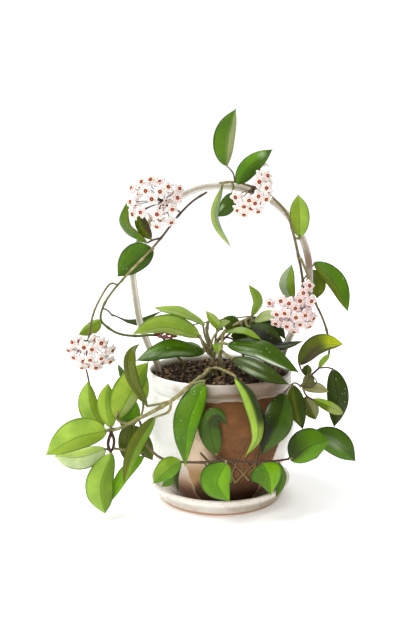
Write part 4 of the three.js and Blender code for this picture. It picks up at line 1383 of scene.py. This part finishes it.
@dataclass
class Floret:
    """One star flower: five velvety petals and a waxy crown."""

    radius: float = 8.2
    notch: float = 5.6
    petal: tuple[Pair, ...] = (
        (0.12, 0.5), (0.42, 0.75), (0.75, 0.7), (0.93, 0.1), (1.0, -0.5), (0.9, -0.45), (0.5, -0.1),
        (0.12, -0.5),
    )
    crown_radius: float = 4.3
    crown_notch: float = 2.8
    crown_height: float = 1.9
    crown_lift: float = 0.3
    crown: tuple[Pair, ...] = (
        (0.05, 1.6), (0.18, 1.5), (0.3, 1.3), (0.5, 1.25), (0.7, 1.4), (0.88, 1.55), (1.0, 1.1), (0.9, 0.3),
    )

    def star(self, angles: Array, outer: float, inner: float, sharp: float) -> Array:
        """Returns a five-pointed outline's radii."""
        wave = (0.5 + 0.5 * np.cos(5 * angles)) ** sharp
        return inner + (outer - inner) * wave

    def layer(self, shell: Shell, turn: Array, rows: list[tuple[Array, Array, Array]],
              part: float) -> None:
        """Adds one layer of the flower to a shell.

        Args:
            shell: The shell.
            turn: The points' angles.
            rows: Radii, heights and reach of each ring, from the middle of the top round to the middle below.
            part: 0 for the petals, 1 for the crown.
        """
        rings = [np.stack([radii * np.cos(turn), radii * np.sin(turn), z], 1) for radii, z, _ in rows[::-1]]
        rings = np.array(rings) * MM
        reach = np.array([share for _, _, share in rows[::-1]])
        shell.grid(rings, True, True, reach=reach, part=np.full(rings.shape[:2], part))

    def build(self) -> Piece:
        """Builds the flower facing up at the origin, as a helper that is instanced."""
        shell = Shell()
        turn = np.linspace(0, 2 * np.pi, 30, endpoint=False)
        between, towards = 0.5 - 0.5 * np.cos(5 * turn), 0.5 + 0.5 * np.cos(5 * turn)
        edge, rows = self.star(turn, self.radius, self.notch, 0.9), []
        for share, height in self.petal:
            z = height - 0.35 * between * share - 0.4 * share ** 2 * towards
            rows.append((edge * share, z, np.full(len(turn), share)))
        self.layer(shell, turn, rows, 0.0)
        edge, rows = self.star(turn, self.crown_radius, self.crown_notch, 1.2), []
        for share, height in self.crown:
            dip = 0.5 * between * min(share * 1.4, 1.0)
            z = (height - dip) * self.crown_height / self.crown[0][1] + self.crown_lift
            rows.append((edge * share, z, edge * share / self.crown_radius))
        self.layer(shell, turn, rows, 1.0)
        return shell.build("floret", None)


@dataclass
class Umbel:
    """A ball of star flowers on thin stalks from one hub."""

    name: str
    grows_from: str
    stalk: tuple[Row, ...]
    ball: Row
    radius: float
    florets: tuple[Pair | Row, ...]
    flush: float = 0.12
    extra: int = 30
    extra_reach: float = 0.74
    spacing: float = 9.6
    depth_limits: Pair = (4.0, 0.8)
    stalk_radius: float = 1.2
    stalk_end: float = 1.4
    pedicel_radius: float = 0.55
    pedicel_age: Pair = (0.85, 0.95)
    hub_radius: float = 1.6
    seat_gap: float = 0.23
    turned: float = 0.42
    open_front: float = -0.15
    open_back: float = 0.72
    bare_side: Row = (0.0, 0.0, 0.0)
    bare_limit: float = 0.3
    young: tuple[Row, ...] = ()
    tail: tuple[Row, ...] = ()

    def centres(self) -> list[Array]:
        """Returns the places of the seen florets, then of those that fill the ball's other sides."""
        middle, radius, spots = VIEW.place(self.ball), self.radius * MM, []
        for u, v, *own_depth in self.florets:
            flat = VIEW.place((u, v, self.ball[2]))
            off = math.hypot(flat[0] - middle[0], flat[2] - middle[2]) / MM
            deep = math.sqrt(max(self.depth_limits[0] ** 2, self.radius ** 2 - off ** 2))
            deep = min(deep, self.radius * self.depth_limits[1])
            spots.append(VIEW.place((u, v, own_depth[0] if own_depth else self.ball[2] - deep)))
        for number in range(self.extra):
            rise = 1 - 2 * (number + 0.5) / self.extra
            turn = number * math.pi * (3 - math.sqrt(5))
            flat = math.sqrt(1 - rise * rise)
            way = np.array([flat * math.cos(turn), flat * math.sin(turn), rise])
            spot = middle + way * radius * self.extra_reach
            hidden = not self.open_front <= way[1] <= self.open_back
            hidden = hidden or float(way @ np.array(self.bare_side)) > self.bare_limit
            if not hidden and min(np.linalg.norm(spot - one) for one in spots) >= self.spacing * MM:
                spots.append(spot)
        return spots

    def stalks(self, hub: Array, parent: LeafyStem) -> StemWeaver:
        """Draws the umbel's own stalk, the hub at its end and the bare twig that one umbel has."""
        stalk = VIEW.path(self.stalk)
        seat_strand(stalk, self.stalk_radius, parent, self.seat_gap)
        weaver = StemWeaver(sides=8)
        weaver.strand(stalk, (self.stalk_radius, self.stalk_end), (0.7, 0.8))
        rise, girth = np.array([0, 0, self.hub_radius * MM]), self.hub_radius * 0.8
        weaver.strand([hub - rise, hub, hub + rise], (girth, girth), (0.8, 0.8))
        if self.tail:
            weaver.strand(VIEW.path(self.tail), (0.9, 1.1), (0.75, 0.9))
        return weaver

    def build(self, floret: Piece, velvet: Material, bark: Material, parent: LeafyStem) -> None:
        """Builds the umbel: its flowers as one piece, its stalks as another.

        Args:
            floret: The flower that is repeated.
            velvet: The flowers' material.
            bark: The stalks' material.
            parent: The stem that it grows from.
        """
        hub, spots = VIEW.place(self.stalk[-1]), self.centres()
        weaver = self.stalks(hub, parent)
        rng = np.random.default_rng(len(self.florets) + int(self.radius))
        facing, spin, size = [], [], []
        for spot in spots:
            sag = unit(unit(spot - hub) * (1 - self.turned) + np.array([0.0, -self.turned, -0.08]))
            middle = hub + (spot - hub) * 0.5 + np.array([0, 0, 1.5 * MM])
            radius = (self.pedicel_radius, self.pedicel_radius * 0.8)
            weaver.strand([hub, middle, spot - sag * 1.2 * MM], radius, self.pedicel_age)
            facing.append(unit(sag + rng.normal(0, 0.08, 3)))
            spin.append(rng.uniform(0, 2 * math.pi))
            size.append(rng.uniform(0.94, 1.05))
        for spot in VIEW.path(self.young):
            weaver.strand([hub, spot], (0.5, 0.5), self.pedicel_age)
            spots.append(spot)
            facing.append(unit(spot - hub))
            spin.append(0.4)
            size.append(0.5)
        points = Shell()
        points.add(np.array(spots), [], facing=np.array(facing), spin=np.array(spin), size=np.array(size))
        piece = points.build(self.name + "_flowers", velvet)
        hand_over(self.set_florets(piece, floret, velvet), "flower", self.name)
        hand_over(weaver.grow(self.name + "_stalks", bark), "plant", self.name)

    def set_florets(self, piece: Piece, floret: Piece, velvet: Material) -> Piece:
        """Sets a flower on each point of a piece, by the point's facing, spin and size."""
        g = Grower("set_florets", {"Size": ("NodeSocketFloat", 1.0),
                                   "Flush": ("NodeSocketFloat", self.flush)})
        dots = g.add("GeometryNodeMeshToPoints", {"Mesh": g.start["Geometry"]})
        scaled = g.add("ShaderNodeMath", {0: g.named("size"), 1: g.start["Size"]}, operation="MULTIPLY")
        way = g.named("facing", "FLOAT_VECTOR")
        aimed = g.add("FunctionNodeAlignRotationToVector", {"Vector": way}, axis="Z")
        about = g.add("FunctionNodeAxisAngleToRotation", {"Axis": (0.0, 0.0, 1.0), "Angle": g.named("spin")})
        turned = g.add("FunctionNodeRotateRotation", {0: aimed, 1: about}, rotation_space="LOCAL")
        flower = g.add("GeometryNodeObjectInfo", {"Object": floret})
        placed = g.add("GeometryNodeInstanceOnPoints", {
            "Points": dots, "Instance": flower.outputs["Geometry"], "Rotation": turned, "Scale": scaled})
        flush = g.add("ShaderNodeMath", {0: g.random(-0.15, 0.25, 4), 1: g.start["Flush"]}, operation="ADD",
                      use_clamp=True)
        g.end(g.store(placed, "flush", flush), velvet)
        return g.run(piece)


# ---------------------------------------------------------------- the plant's own stems, leaves and umbels

T, UN = Tone, Face.UNDER

BUDS: tuple[tuple[Row, Row, float], ...] = (
    ((155, 331, 3), (-0.2, -0.6, 0.6), 3.2), ((157, 333.5, 2), (0.9, -0.3, 0.1), 4.2),
    ((163, 332, 1), (1, -0.3, 0.15), 4.6), ((169, 333.5, 0), (1, -0.3, 0), 4.8),
    ((174, 336, 0), (1, -0.2, -0.1), 4.2), ((160, 336.5, 0), (0.8, -0.6, -0.2), 3.8),
    ((166, 337, -1), (0.9, -0.5, -0.2), 4.4), ((171, 338.5, -1), (0.8, -0.4, -0.4), 3.6),
)

# Leaf tints are partly painted light: the darkest tones, dark halves and dark blots stand for shade; the pale
# grey, gloss and sheen tones are painted highlights.
STEMS: tuple[LeafyStem, ...] = (
    LeafyStem("stem_centre", root=(-13, 4), age=(0.42, 0.2), petiole_age=(0.3, 0.15), petiole_radius=1.9,
              vines=(
        Vine((2.6, 1.8), ((213, 362, 1), (214, 352, -1), (210, 342, -3), (207, 332, -5), (208, 321, -7))),
        Vine((1.6, 1.2), ((213, 358, 1), (207, 350, -5), (201, 338, -9))),
        Vine((1.4, 1.1), ((213, 355, 1), (215, 343, -4), (217, 329, -9))),
        Vine((1.7, 1.4), ((212, 354, -5), (206, 345, -9), (199, 337, -11))),
        Vine((1.6, 1.2), ((214, 352, -7), (223, 340, -10), (235, 329, -11))),
        Vine((1.5, 1.2), ((211, 351, -3), (205, 336, -7), (203, 325, -9))),
        Vine((1.9, 1.6), ((213, 353, -5), (218, 341, -9), (226, 331, -11))),
        Vine((1.6, 1.3), ((210, 352, -6), (213, 338, -8), (221, 328, -10)), (0.7, 0.4)),
        Vine((1.7, 1.4), ((210, 354, -8), (203, 345, -12), (200, 335, -12)), (0.8, 0.5)),
        Vine((1.3, 1.1), ((213, 346, -12), (221, 338.5, -14), (230, 338, -15), (236, 342, -18)),
             (1.0, 0.95))), leaves=(
        Leaf(((205, 325, -9), (181, 313, -18), (153, 307.5, -26)), (4, -15), (6, 14), T.LIME, T.PALE),
        Leaf(((200, 337, -10), (165, 327, -22), (132, 334, -30)), (6, 8), (13, -8), T.MINT, T.PALE, UN),
        # painted sheen on its left half
        Leaf(((205, 352, -12), (170, 348, -32), (135, 361, -42)), (10, -10), (9, 12), T.DEEP, T.LEAF,
             dull=0.0, flecks=0.9, blots=(Blot(T.SHEEN, (0.25, 0.6), (0.45, 0.8), 0.2),)),
        Leaf(((217, 342.5, -14), (218, 348, -23), (217, 355.5, -27)), (5.5, 0), (5.5, 0), T.SAGE, T.SPRING,
             UN, widest=0.34),
        Leaf(((223, 330, -10), (214, 321, -14), (205.5, 310.5, -16)), (4.5, 3), (5, -3), T.LIME, T.MINT),
        Leaf(((217, 328, -10), (222, 323, -15), (231, 321, -18)), (3, 3), (4, -4), T.SAGE),
        Leaf(((202, 349, 14), (184, 348, 42), (164, 351, 64)), (6, -8), (6, 10), T.LEAF))),
    LeafyStem("stem_right", root=(-3, -12), age=(0.45, 0.25), petiole_age=(0.35, 0.2), petiole_radius=2.0,
              vines=(
        Vine((2.4, 1.6), ((220, 360, -14), (221, 349, -15), (222, 340, -15), (224, 333, -14))),), leaves=(
        Leaf(((225, 332, -16), (243, 331, -24), (262, 340, -30)), (4, 12), (3, -8), T.SPRING, flecks=0.4),
        # painted highlights: a grey sheen and a crisp glint along its lower edge, and soft painted sheen on
        # both halves
        Leaf(((227, 344, -22), (262, 350, -42), (300, 373, -50)), (10, 13), (10, -12), T.DEEP, T.DEEP,
             dull=0.0, flecks=0.9, blots=(Blot(T.GREY, (0.42, 0.72), (-0.9, -0.66), 0.2),
             Blot(T.GLOSS, (0.48, 0.84), (-0.93, -0.74), 0.06), Blot(T.SHEEN, (0.14, 0.4), (-0.5, -0.2), 0.2),
             Blot(T.SHEEN, (0.2, 0.42), (0.45, 0.75), 0.2))),
        # a dark leaf with painted sheen on both halves
        Leaf(((232, 358, -46), (258, 369, -72), (290, 385, -88)), (8.5, 9), (9, -9), T.DARK, T.DARK,
             dull=0.03, flecks=0.5, blots=(Blot(T.SHEEN, (0.2, 0.5), (0.1, 0.4), 0.2),
             Blot(T.SHEEN, (0.3, 0.6), (-0.75, -0.45), 0.16))))),
    LeafyStem("stem_back", root=(24, 30), petiole_radius=1.8, vines=(
        Vine((2.2, 1.5), ((243, 352, 28), (245, 338, 24), (250, 326, 20), (252, 318, 16))),
        Vine((0.8, 0.9), ((152, 329, 8), (184, 326, 9), (220, 320, 12), (252, 316, 15))),
        Vine((1.6, 2.0), ((251, 317, 14), (238, 323, 8), (226, 330, 0), (217, 341, -4)), (0.75, 0.5))),
              leaves=(
        Leaf(((252, 316, 12), (258, 301, 10), (248.5, 284, 8)), (5, -4), (5, 6), T.PALE),
        Leaf(((254, 321, 10), (267, 315, 2), (281, 313, -2)), (5, 8), (6, -8), T.STRAW),
        # painted shade: the darkest halves here stand for leaves in the shade behind the crown
        Leaf(((250, 327, 3), (264, 331, -10), (284, 343, -16)), (9, 7), (11, -8), T.DARK, T.INK, dull=0.3),
        Leaf(((243, 332, 12), (233, 322, 6), (221, 319, 2)), (11, -8), (6, 8), T.MOSS, T.DEEP),
        Leaf(((254, 342, 20), (243, 335, 16), (230, 336, 12)), (9, -4), (8, 4), T.DARK, T.MOSS, flecks=0.5),
        Leaf(((263, 321, 26), (251, 325, 28), (238, 331, 26)), (9, -2), (8, 2), T.MOSS, T.DARK, dull=0.2,
             flecks=0.6),
        Leaf(((256, 322, 11), (275, 324, 5), (286, 340, 1)), (5, 3), (6, -4), T.DARK),
        # painted shade: dark leaves in the shade behind the crown
        Leaf(((252, 340, 14), (276, 346, 0), (304, 341, -6)), (4, 8), (5, -9), T.INK, T.DARK),
        Leaf(((247, 338, 34), (252, 334, 58), (262, 338, 82)), (7, 6), (7, -8), T.INK),
        Leaf(((249, 328, 28), (262, 325, 46), (277, 331, 62)), (6, 10), (6, -6), T.DARK, T.INK))),
    LeafyStem("vine_front", root=(-14, -13), age=(0.36, 0.24), vines=(
        Vine((2.8, 1.9), ((211, 369, -20), (203, 376, -50), (195, 381.5, -79), (185, 390, -92),
             (171, 401, -93), (150, 413, -87), (130, 423, -79), (117, 429, -74), (107, 430, -72))),
        Vine((1.6, 1.3), ((171, 401, -92), (159, 404, -89), (148, 406, -86))),
        Vine((1.6, 1.3), ((171, 402, -93), (169, 411, -96), (156, 417, -92))),
        Vine((1.7, 1.5), ((128, 424, -78), (119, 421, -81), (116, 417, -84))),
        Vine((2.0, 1.7), ((112, 430, -73), (108, 444, -78), (111, 453, -84)), (0.95, 1.0)),
        Vine((1.9, 1.5), ((110, 430, -73), (114, 440, -74), (112, 450, -76), (107, 449, -70)), (0.9, 1.0)),
        Vine((1.7, 1.4), ((211, 369, -20), (216, 368, -32), (225, 371, -62), (235, 376, -86)))), leaves=(
        Leaf(((204, 382.5, -89), (188, 424, -107), (185, 468, -106)), (11, 1), (16, 5), T.FRESH, T.LEAF,
             dull=0.06, flecks=0.7, widest=0.38),
        # its dark half is painted shade across the fold
        Leaf(((235, 377, -89), (247, 394, -101), (256, 418, -110), (257, 438, -112), (245, 457, -113)),
             (7.5, 12), (7.5, -2), T.DARK, T.PALE, blots=(Blot(T.LIME, (0.6, 1), (0.02, 1)),)),
        Leaf(((147, 406, -89), (131, 380, -92), (127.5, 362, -92), (131, 350, -90), (141, 343, -86)),
             (4.5, 2), (9, -8), T.MOSS, face=UN, widest=0.36),
        Leaf(((143, 402, -60), (142, 387, -56), (145, 370, -52)), (7, 0), (7, 0), T.SPRING, T.LIME, UN),
        Leaf(((124, 383, -62), (122, 374, -60), (118, 364, -58)), (3, 2), (3, -2), T.DEEP),
        Leaf(((117, 419, -81), (132.5, 390.5, -78), (149, 361, -70)), (19, 3), (9, 2), T.LIME, T.SPRING, UN,
             blots=(Blot(T.SAGE, (0.1, 0.45), (-1, -0.06)),)),
        Leaf(((111, 428, -76), (106, 404, -75), (108, 382.5, -70)), (9, 5), (10, 2), T.LIME, T.SPRING, UN),
        Leaf(((103, 430, -68), (91, 406, -62), (88, 380, -56)), (13, 4), (8, 6), T.PALE, T.LIME, UN),
        Leaf(((122, 427, -72), (130, 415, -70), (136.5, 400, -66)), (10, 3), (10, 3), T.FRESH, T.BRIGHT),
        Leaf(((107, 431, -80), (77, 438, -90), (45, 455.5, -86)), (12, -4), (19, 6), T.LIME, T.PALE, UN),
        Leaf(((106, 449, -72), (80, 457, -76), (53, 456, -72)), (13, -6), (9, 6), T.FROST, T.MINT, UN,
             dull=0.02),
        Leaf(((112, 453, -86), (101, 486, -94), (105, 514, -92)), (12.5, 6), (16, 6), T.SPRING, T.PALE, UN,
             widest=0.53),
        Leaf(((144, 456, -74), (124, 477, -82), (109, 504, -84)), (5, 0), (8, 3), T.BRIGHT),
        Leaf(((155, 417, -92), (136, 447, -98), (123, 485, -98)), (7, 4), (9, 4), T.SPRING, T.MOSS, UN),
        Leaf(((130, 424, -72), (127, 441, -70), (125, 461, -68)), (9, 3), (9, 3), T.OLIVE, T.MOSS, UN),
        Leaf(((134, 426, -72), (143, 444, -74), (153, 461, -72)), (9, 4), (9, 2), T.OLIVE, T.MOSS, UN))),
    LeafyStem("runner_front", grows_from="vine_front", age=(0.8, 1.0), vines=(
        Vine((1.5, 1.2), ((142, 423.5, -83), (144, 436, -85), (150, 449, -90), (163, 459, -97),
             (177, 461.5, -99), (200, 462.5, -101), (222, 461, -102), (250, 462, -100), (275, 461, -95),
             (289, 459, -90))),
        Vine((1.1, 0.9), ((226, 461, -102), (221, 458, -101), (217, 455, -99))),
        Vine((1.2, 0.9), ((288, 459, -90), (300, 449, -74), (314, 433, -65)))), leaves=(
        Leaf(((181, 461, -102), (168, 470, -106), (153, 484, -103)), (9, 3), (12, 2), T.FRESH, T.SPRING,
             dull=0.03),
        Leaf(((178, 470, -94), (170, 480, -92), (161, 487, -90)), (5, 0), (4, 0), T.LEAF),
        Leaf(((180, 466, -98), (176, 480, -98), (178, 492, -96)), (2.5, 3), (2.5, 3), T.DARK),
        Leaf(((226, 463, -104), (217, 483, -106), (230, 502, -102)), (15, 4), (17, 5), T.BRIGHT, T.FRESH,
             flecks=0.1, widest=0.4),
        Leaf(((262, 463, -99), (269, 478, -101), (271, 497, -97)), (15, 5), (18, 4), T.BRIGHT, T.LEAF,
             dull=0.05, widest=0.3),
        Leaf(((279, 463, -92), (281, 480, -90), (276, 498, -86)), (5, 0), (5, 0), T.LEAF, T.DEEP),
        Leaf(((217, 455, -98), (212, 440, -98), (210, 424, -98), (217, 416, -100), (228, 425, -100)), (12, 2),
             (11, 2), T.DEEP, dull=0.02, blots=(Blot(T.DARK, (0.45, 1), (-1, 0.3)),)),
        # painted shadow over its base
        Leaf(((291, 461, -88), (310, 446, -85), (330, 440, -80)), (19, 5), (14, 2), T.LEAF, T.FRESH,
             dull=0.06, blots=(Blot(T.DARK, (0, 0.42), (-0.25, 1), 0.4),)),
        # painted sheen in its middle
        Leaf(((314, 432, -66), (337, 444, -62), (356, 461.5, -58)), (14, 5), (12, 0), T.DEEP, T.LEAF,
             dull=0.04, blots=(Blot(T.SHEEN, (0.3, 0.6), (-0.4, 0.15), 0.2),)))),
    LeafyStem("vine_left", root=(-52, 26), age=(0.3, 0.08, 0.08, 0.2, 0.9, 1.0), buds=BUDS, vines=(
        Vine((1.7, 1.2), ((170, 350, 22), (162, 337, 10), (150, 335, -4), (138, 336, -6), (120, 334, -12),
             (110, 329, -14), (101, 320, -15), (103, 307, -14), (112, 292, -10), (125, 277, -7),
             (145, 256, -6), (161, 238, -5), (178, 216, -4), (193, 201, -3), (207, 192, -3))),
        Vine((1.2, 1.0), ((161, 238, -5), (153, 240, -8), (147, 243, -9)), (0.95, 1.0)),
        Vine((1.1, 1.0), ((102, 308, -14), (107, 310, -14), (112, 315, -12)), (0.8, 0.9))), leaves=(
        Leaf(((153, 249, 0), (136, 261, 1), (117, 277, 0)), (11, -1), (17, 1), T.DEEP, T.LEAF, dull=0.04,
             flecks=0.8),
        Leaf(((147, 243, -9), (125, 224, -14), (128, 200, -14)), (5, 8), (5, -6), T.LEAF, T.OLIVE),
        Leaf(((151, 239, -6), (142, 224, -4), (138, 210, -2)), (7, 1), (6, 1), T.OLIVE, T.BRONZE),
        Leaf(((112, 315, -12), (137, 322, 30), (166, 309, 34)), (3.6, 11), (4, -10), T.DARK, dull=0.6,
             widest=0.3),
        Leaf(((101, 320, -17), (91, 327, -20), (78, 335, -22)), (8, 3), (5, 3), T.LIME, T.SPRING))),
    LeafyStem("vine_right", root=(50, 27), age=(0.95, 0.72), vines=(
        Vine((2, 1.3), ((280, 350, 26), (292, 330, 26), (301, 308, 24), (303.5, 290, 16), (301.5, 272, 5),
             (298, 254, 0), (293, 232, -4), (287, 214, -3), (276, 201, -2), (264, 191, -2), (250, 186, -3),
             (234, 182, -4), (219, 183, -4))),
        Vine((1, 0.8), ((235, 182, -4), (233, 173, -6), (227, 166, -8))),
        Vine((1, 0.8), ((302.5, 281, 10.5), (308, 273, 19.5), (314, 264.5, 13)))), leaves=(
        Leaf(((226, 166, -8), (228.5, 137, -12), (236, 108, -14)), (15, 5), (6.5, 6), T.LEAF, T.STRAW, UN),
        # painted highlight near its tip
        Leaf(((237, 184, -6), (251, 166, -8), (273, 149, -11)), (10, 3), (9, 2), T.FRESH, T.LEAF, dull=0.02,
             flecks=0.4, blots=(Blot(T.GREY, (0.74, 0.84), (-0.2, 0.6), 0.1),
             Blot(T.DEEP, (0.88, 1), (-1, 1), 0.1))),
        # painted highlight on one half
        Leaf(((232, 193, -4), (227, 206, -4), (217, 217, -3)), (8, 2), (7.5, 2), T.DEEP,
             blots=(Blot(T.GREY, (0.55, 0.8), (-0.7, -0.35), 0.12),)),
        # painted sheen: its grey half stands for reflected light
        Leaf(((222, 187, -6), (215, 218, -14), (231, 248, -16)), (3.5, 3), (4, -3), T.GREY, T.MINT,
             dull=0.02),
        Leaf(((300, 237, 1), (299, 214, 3), (298, 194, 3)), (9.5, 0), (10.5, 0), T.LIME, T.PALE, UN),
        Leaf(((314, 262.5, 11), (334, 283, -5), (348.5, 312.5, -12)), (12.5, 4), (6.5, 3), T.LEAF, T.OLIVE,
             flecks=0.5),
        Leaf(((309, 270, 22), (317, 284, 22), (317, 299, 19)), (9, 0), (7, 0), T.OLIVE),
        # painted sheen: its grey half stands for reflected light
        Leaf(((292, 300, 0), (287, 284, -6), (292, 264, -8)), (8, 4), (8, -4), T.GREY, T.SPRING))),
    LeafyStem("vine_droop", grows_from="vine_right", age=(0.68, 0.97), petiole_age=(0.95, 0.8), vines=(
        Vine((1.5, 1.2), ((299, 257, 1), (301, 259, -5), (304, 266, -5), (307.5, 275, -1), (310, 285, 0),
             (312.5, 294, -4), (316, 304, -8), (321, 314.5, -11), (326, 328, -14), (329.5, 347, -21),
             (327.5, 358, -27), (319, 368, -35), (308, 378, -43), (300, 387, -50))),
        Vine((1.2, 1), ((302, 385, -49), (306, 395, -52), (313, 400, -52))),
        Vine((1.1, 0.9), ((301, 386, -50), (294, 383, -57), (285, 392, -70))),
        Vine((1.1, 0.9), ((319, 368, -35), (327, 367.5, -33), (333, 369, -32))),
        Vine((1, 0.9), ((308, 378, -43), (302, 371, -38), (299, 364, -34))),
        Vine((0.7, 0.6), ((312, 375, -50), (316.5, 382, -58), (311, 387.5, -60), (303, 386, -56)),
             (0.95, 1.0))), leaves=(
        Leaf(((299, 365, -34), (320, 347, -38), (344, 344, -40)), (13, 4), (6.5, 4), T.MOSS,
             blots=(Blot(T.YELLOW, (0.6, 1), (-0.4, 1), 0.2), Blot(T.BRONZE, (0, 0.5), (-1, 0.25), 0.25))),
        Leaf(((319, 367, -35), (323, 361, -37), (330, 353, -38)), (3, 0), (3, 0), T.LIME),
        Leaf(((333, 369, -32), (337, 398, -38), (334, 428, -38)), (12, 4), (10, 5), T.DARK, flecks=0.6),
        Leaf(((313, 399, -52), (328, 406, -54), (343.5, 414, -54)), (5.5, 4), (5.5, -3), T.LIME, T.OLIVE,
             blots=(Blot(T.SAGE, (0.55, 1), (-1, 1)),), widest=0.6),
        Leaf(((309, 374, -49), (308.5, 381, -53), (302, 389, -57)), (6, 1), (6, 1), T.DRAB, dull=0.4),
        Leaf(((303, 388, -50), (316, 387.5, -50), (329, 392, -50)), (5.5, 2), (5.5, -2), T.KHAKI, face=UN,
             dull=0.4),
        Leaf(((306, 376, -44), (307, 370, -42), (308, 364, -40)), (5, 0), (5, 0), T.DARK, T.MOSS),
        Leaf(((293, 385, -60), (297, 407, -70), (303, 430, -74)), (9, 4), (9, 4), T.DARK, T.MOSS),
        Leaf(((305, 397, -50), (311, 409, -49), (316, 420, -48)), (8, 0), (8, 0), T.KHAKI, T.MOSS, dull=0.3),
        # painted shade: its very dark half and the dark stretch near its base
        Leaf(((285, 393, -72), (276.5, 423, -96), (261, 455, -98)), (16, 8), (15, 3), T.DEEP, T.INK,
             dull=0.02, blots=(Blot(T.DARK, (0, 0.5), (-1, -0.05), 0.3),)))),
)

UMBELS: tuple[Umbel, ...] = (
    Umbel("umbel_left", "vine_left", ((179, 211, -6), (172, 208, -11), (163, 203, -16)), (155, 201, -20), 30,
          ((151, 180), (142, 182), (132, 188), (131, 202), (141, 212), (152, 199), (168, 187), (179, 189),
           (177, 198), (172, 209), (157, 214), (157, 226), (171, 222), (146, 191), (160, 192), (133, 214)),
          young=((163, 205, -26), (166, 201, -25), (160, 208, -27))),
    Umbel("umbel_top", "vine_right", ((251, 189, -5), (251, 190, -9), (251, 190, -14)), (252, 188, -20), 26,
          ((236, 197), (244, 206), (251, 208), (258, 196), (259, 182), (259, 171, 3.0), (266, 188),
           (267, 176), (263, 163, 1.0), (238, 210), (249, 200), (266, 199), (255, 203), (244, 214),
           (258, 211)),
          extra=44, spacing=8.4, open_front=-0.7, bare_side=(-0.7, 0.0, 0.7)),
    Umbel("umbel_right", "vine_right", ((303, 284, 8), (300.5, 290, -3), (296, 299, -20)),
          (292, 308, -30), 27,
          ((270, 303), (277, 314), (276, 323), (281, 301), (303, 293), (309, 286), (311, 301), (295, 308),
           (305, 315), (313, 318), (287, 326), (300, 324), (294, 331), (309, 326), (285, 313), (296, 317),
           (289, 303)),
          flush=0.5, extra=44, spacing=9.4, open_front=-1.0, bare_side=(-0.5, 0.0, 0.86)),
    Umbel("umbel_low", "vine_left",
          ((117, 283, -12), (110, 284, -24), (101, 297, -28), (93, 315, -31), (88, 341, -33)),
          (91, 350, -34), 27,
          ((73, 342), (84, 347), (101, 343), (112, 350), (74, 357), (90, 359.5), (101, 358), (82, 367),
           (96, 367), (110, 361), (69, 350), (92, 349), (79, 341, -40), (95, 340, -40)),
          extra=40, spacing=8.4, open_front=-1.0, bare_side=(0.1, -0.25, 0.97),
          tail=((88, 341, -33), (86, 366, -34), (88, 377, -44), (90, 387, -55))),
)


# ---------------------------------------------------------------- studio

@dataclass(frozen=True)
class Sun:
    """A soft light from far off: its direction, its width in degrees and its strength."""

    name: str
    way: Row
    softness: float
    strength: float

    def shine(self) -> None:
        """Adds the light to the scene."""
        data = bpy.data.lights.new(self.name, "SUN")
        data.energy, data.angle = self.strength, math.radians(self.softness)
        lamp = bpy.data.objects.new(self.name, data)
        lamp.location = (0.0, 0.0, 1.5)
        lamp.rotation_euler = Vector(self.way).to_track_quat("-Z", "Y").to_euler()
        bpy.context.scene.collection.objects.link(lamp)


@dataclass
class Studio:
    """Plain pale floor and soft light."""

    floor_size: float = 6.0
    floor_height: float = -2e-4
    front: tuple[float, ...] = (0.3, 0.285, 0.26, 1.0)
    back: tuple[float, ...] = (0.66, 0.66, 0.65, 1.0)
    backdrop: tuple[float, ...] = (1.0, 1.0, 1.0, 1.0)
    turnover: Pair = (-0.3, 0.5)
    strength: float = 1.08
    suns: tuple[Sun, ...] = (
        Sun("key", (0.5, 0.12, -1.0), 30.0, 2.5),
        Sun("fill", (0.55, 0.85, -0.5), 60.0, 0.7),
        Sun("rim", (0.1, -0.8, -0.7), 40.0, 0.5),
    )

    def floor(self) -> None:
        """Lays the floor just under the saucer."""
        shell, half = Shell(), self.floor_size / 2
        corners = ((-half, -half), (half, -half), (half, half), (-half, half))
        shell.add(np.array([(x, y, self.floor_height) for x, y in corners]), [(0, 1, 2, 3)])
        p = Paint("studio_floor", Roughness=0.9, Specular_IOR_Level=0.1, Emission_Color=(1.0, 1.0, 1.0, 1.0),
                  Emission_Strength=0.25)
        p.feed("Base Color", p.mix(p.noise(3.0), (0.97, 0.97, 0.97), (0.95, 0.95, 0.95)))
        shell.build("floor", p.material, smooth=False)

    def light(self) -> None:
        """Lights the room: an even white backdrop, brighter behind than in front, and three soft lights."""
        world = bpy.data.worlds.new("studio")
        world.use_nodes = True
        t = Tree(world.node_tree)
        way = t.add("ShaderNodeTexCoord").outputs["Generated"]
        back = t.add("ShaderNodeSeparateXYZ", {0: way}).outputs[1]
        share = t.add("ShaderNodeMapRange", {0: back, 1: self.turnover[0], 2: self.turnover[1]},
                      interpolation_type="SMOOTHSTEP")
        room = t.add("ShaderNodeMix", {0: share, 6: self.front, 7: self.back}, data_type="RGBA").outputs[2]
        seen = t.add("ShaderNodeLightPath").outputs["Is Camera Ray"]
        shown = t.add("ShaderNodeMix", {0: seen, 6: room, 7: self.backdrop}, data_type="RGBA").outputs[2]
        glow = t.add("ShaderNodeBackground", {"Color": shown, "Strength": self.strength})
        out = t.add("ShaderNodeOutputWorld")
        t.tree.links.new(glow.outputs[0], out.inputs[0])
        bpy.context.scene.world = world
        for sun in self.suns:
            sun.shine()
        bpy.context.scene.view_settings.view_transform = "Standard"


def main() -> None:
    """Builds every piece in order."""
    VIEW.camera()
    for part in (Saucer(), Pot(), Soil(), Hoop()):
        part.build()
    wax, bark, velvet = LeafWax().make(), StemBark().make(), PetalVelvet().make()
    by_name = {stem.name: stem for stem in STEMS}
    for stem in STEMS:
        stem.build(LeafShape(), wax, bark, by_name)
    floret = Floret().build()
    for umbel in UMBELS:
        umbel.build(floret, velvet, bark, by_name[umbel.grows_from])
    bpy.data.objects.remove(floret)
    studio = Studio()
    studio.floor()
    studio.light()


if __name__ == "__main__":
    main()
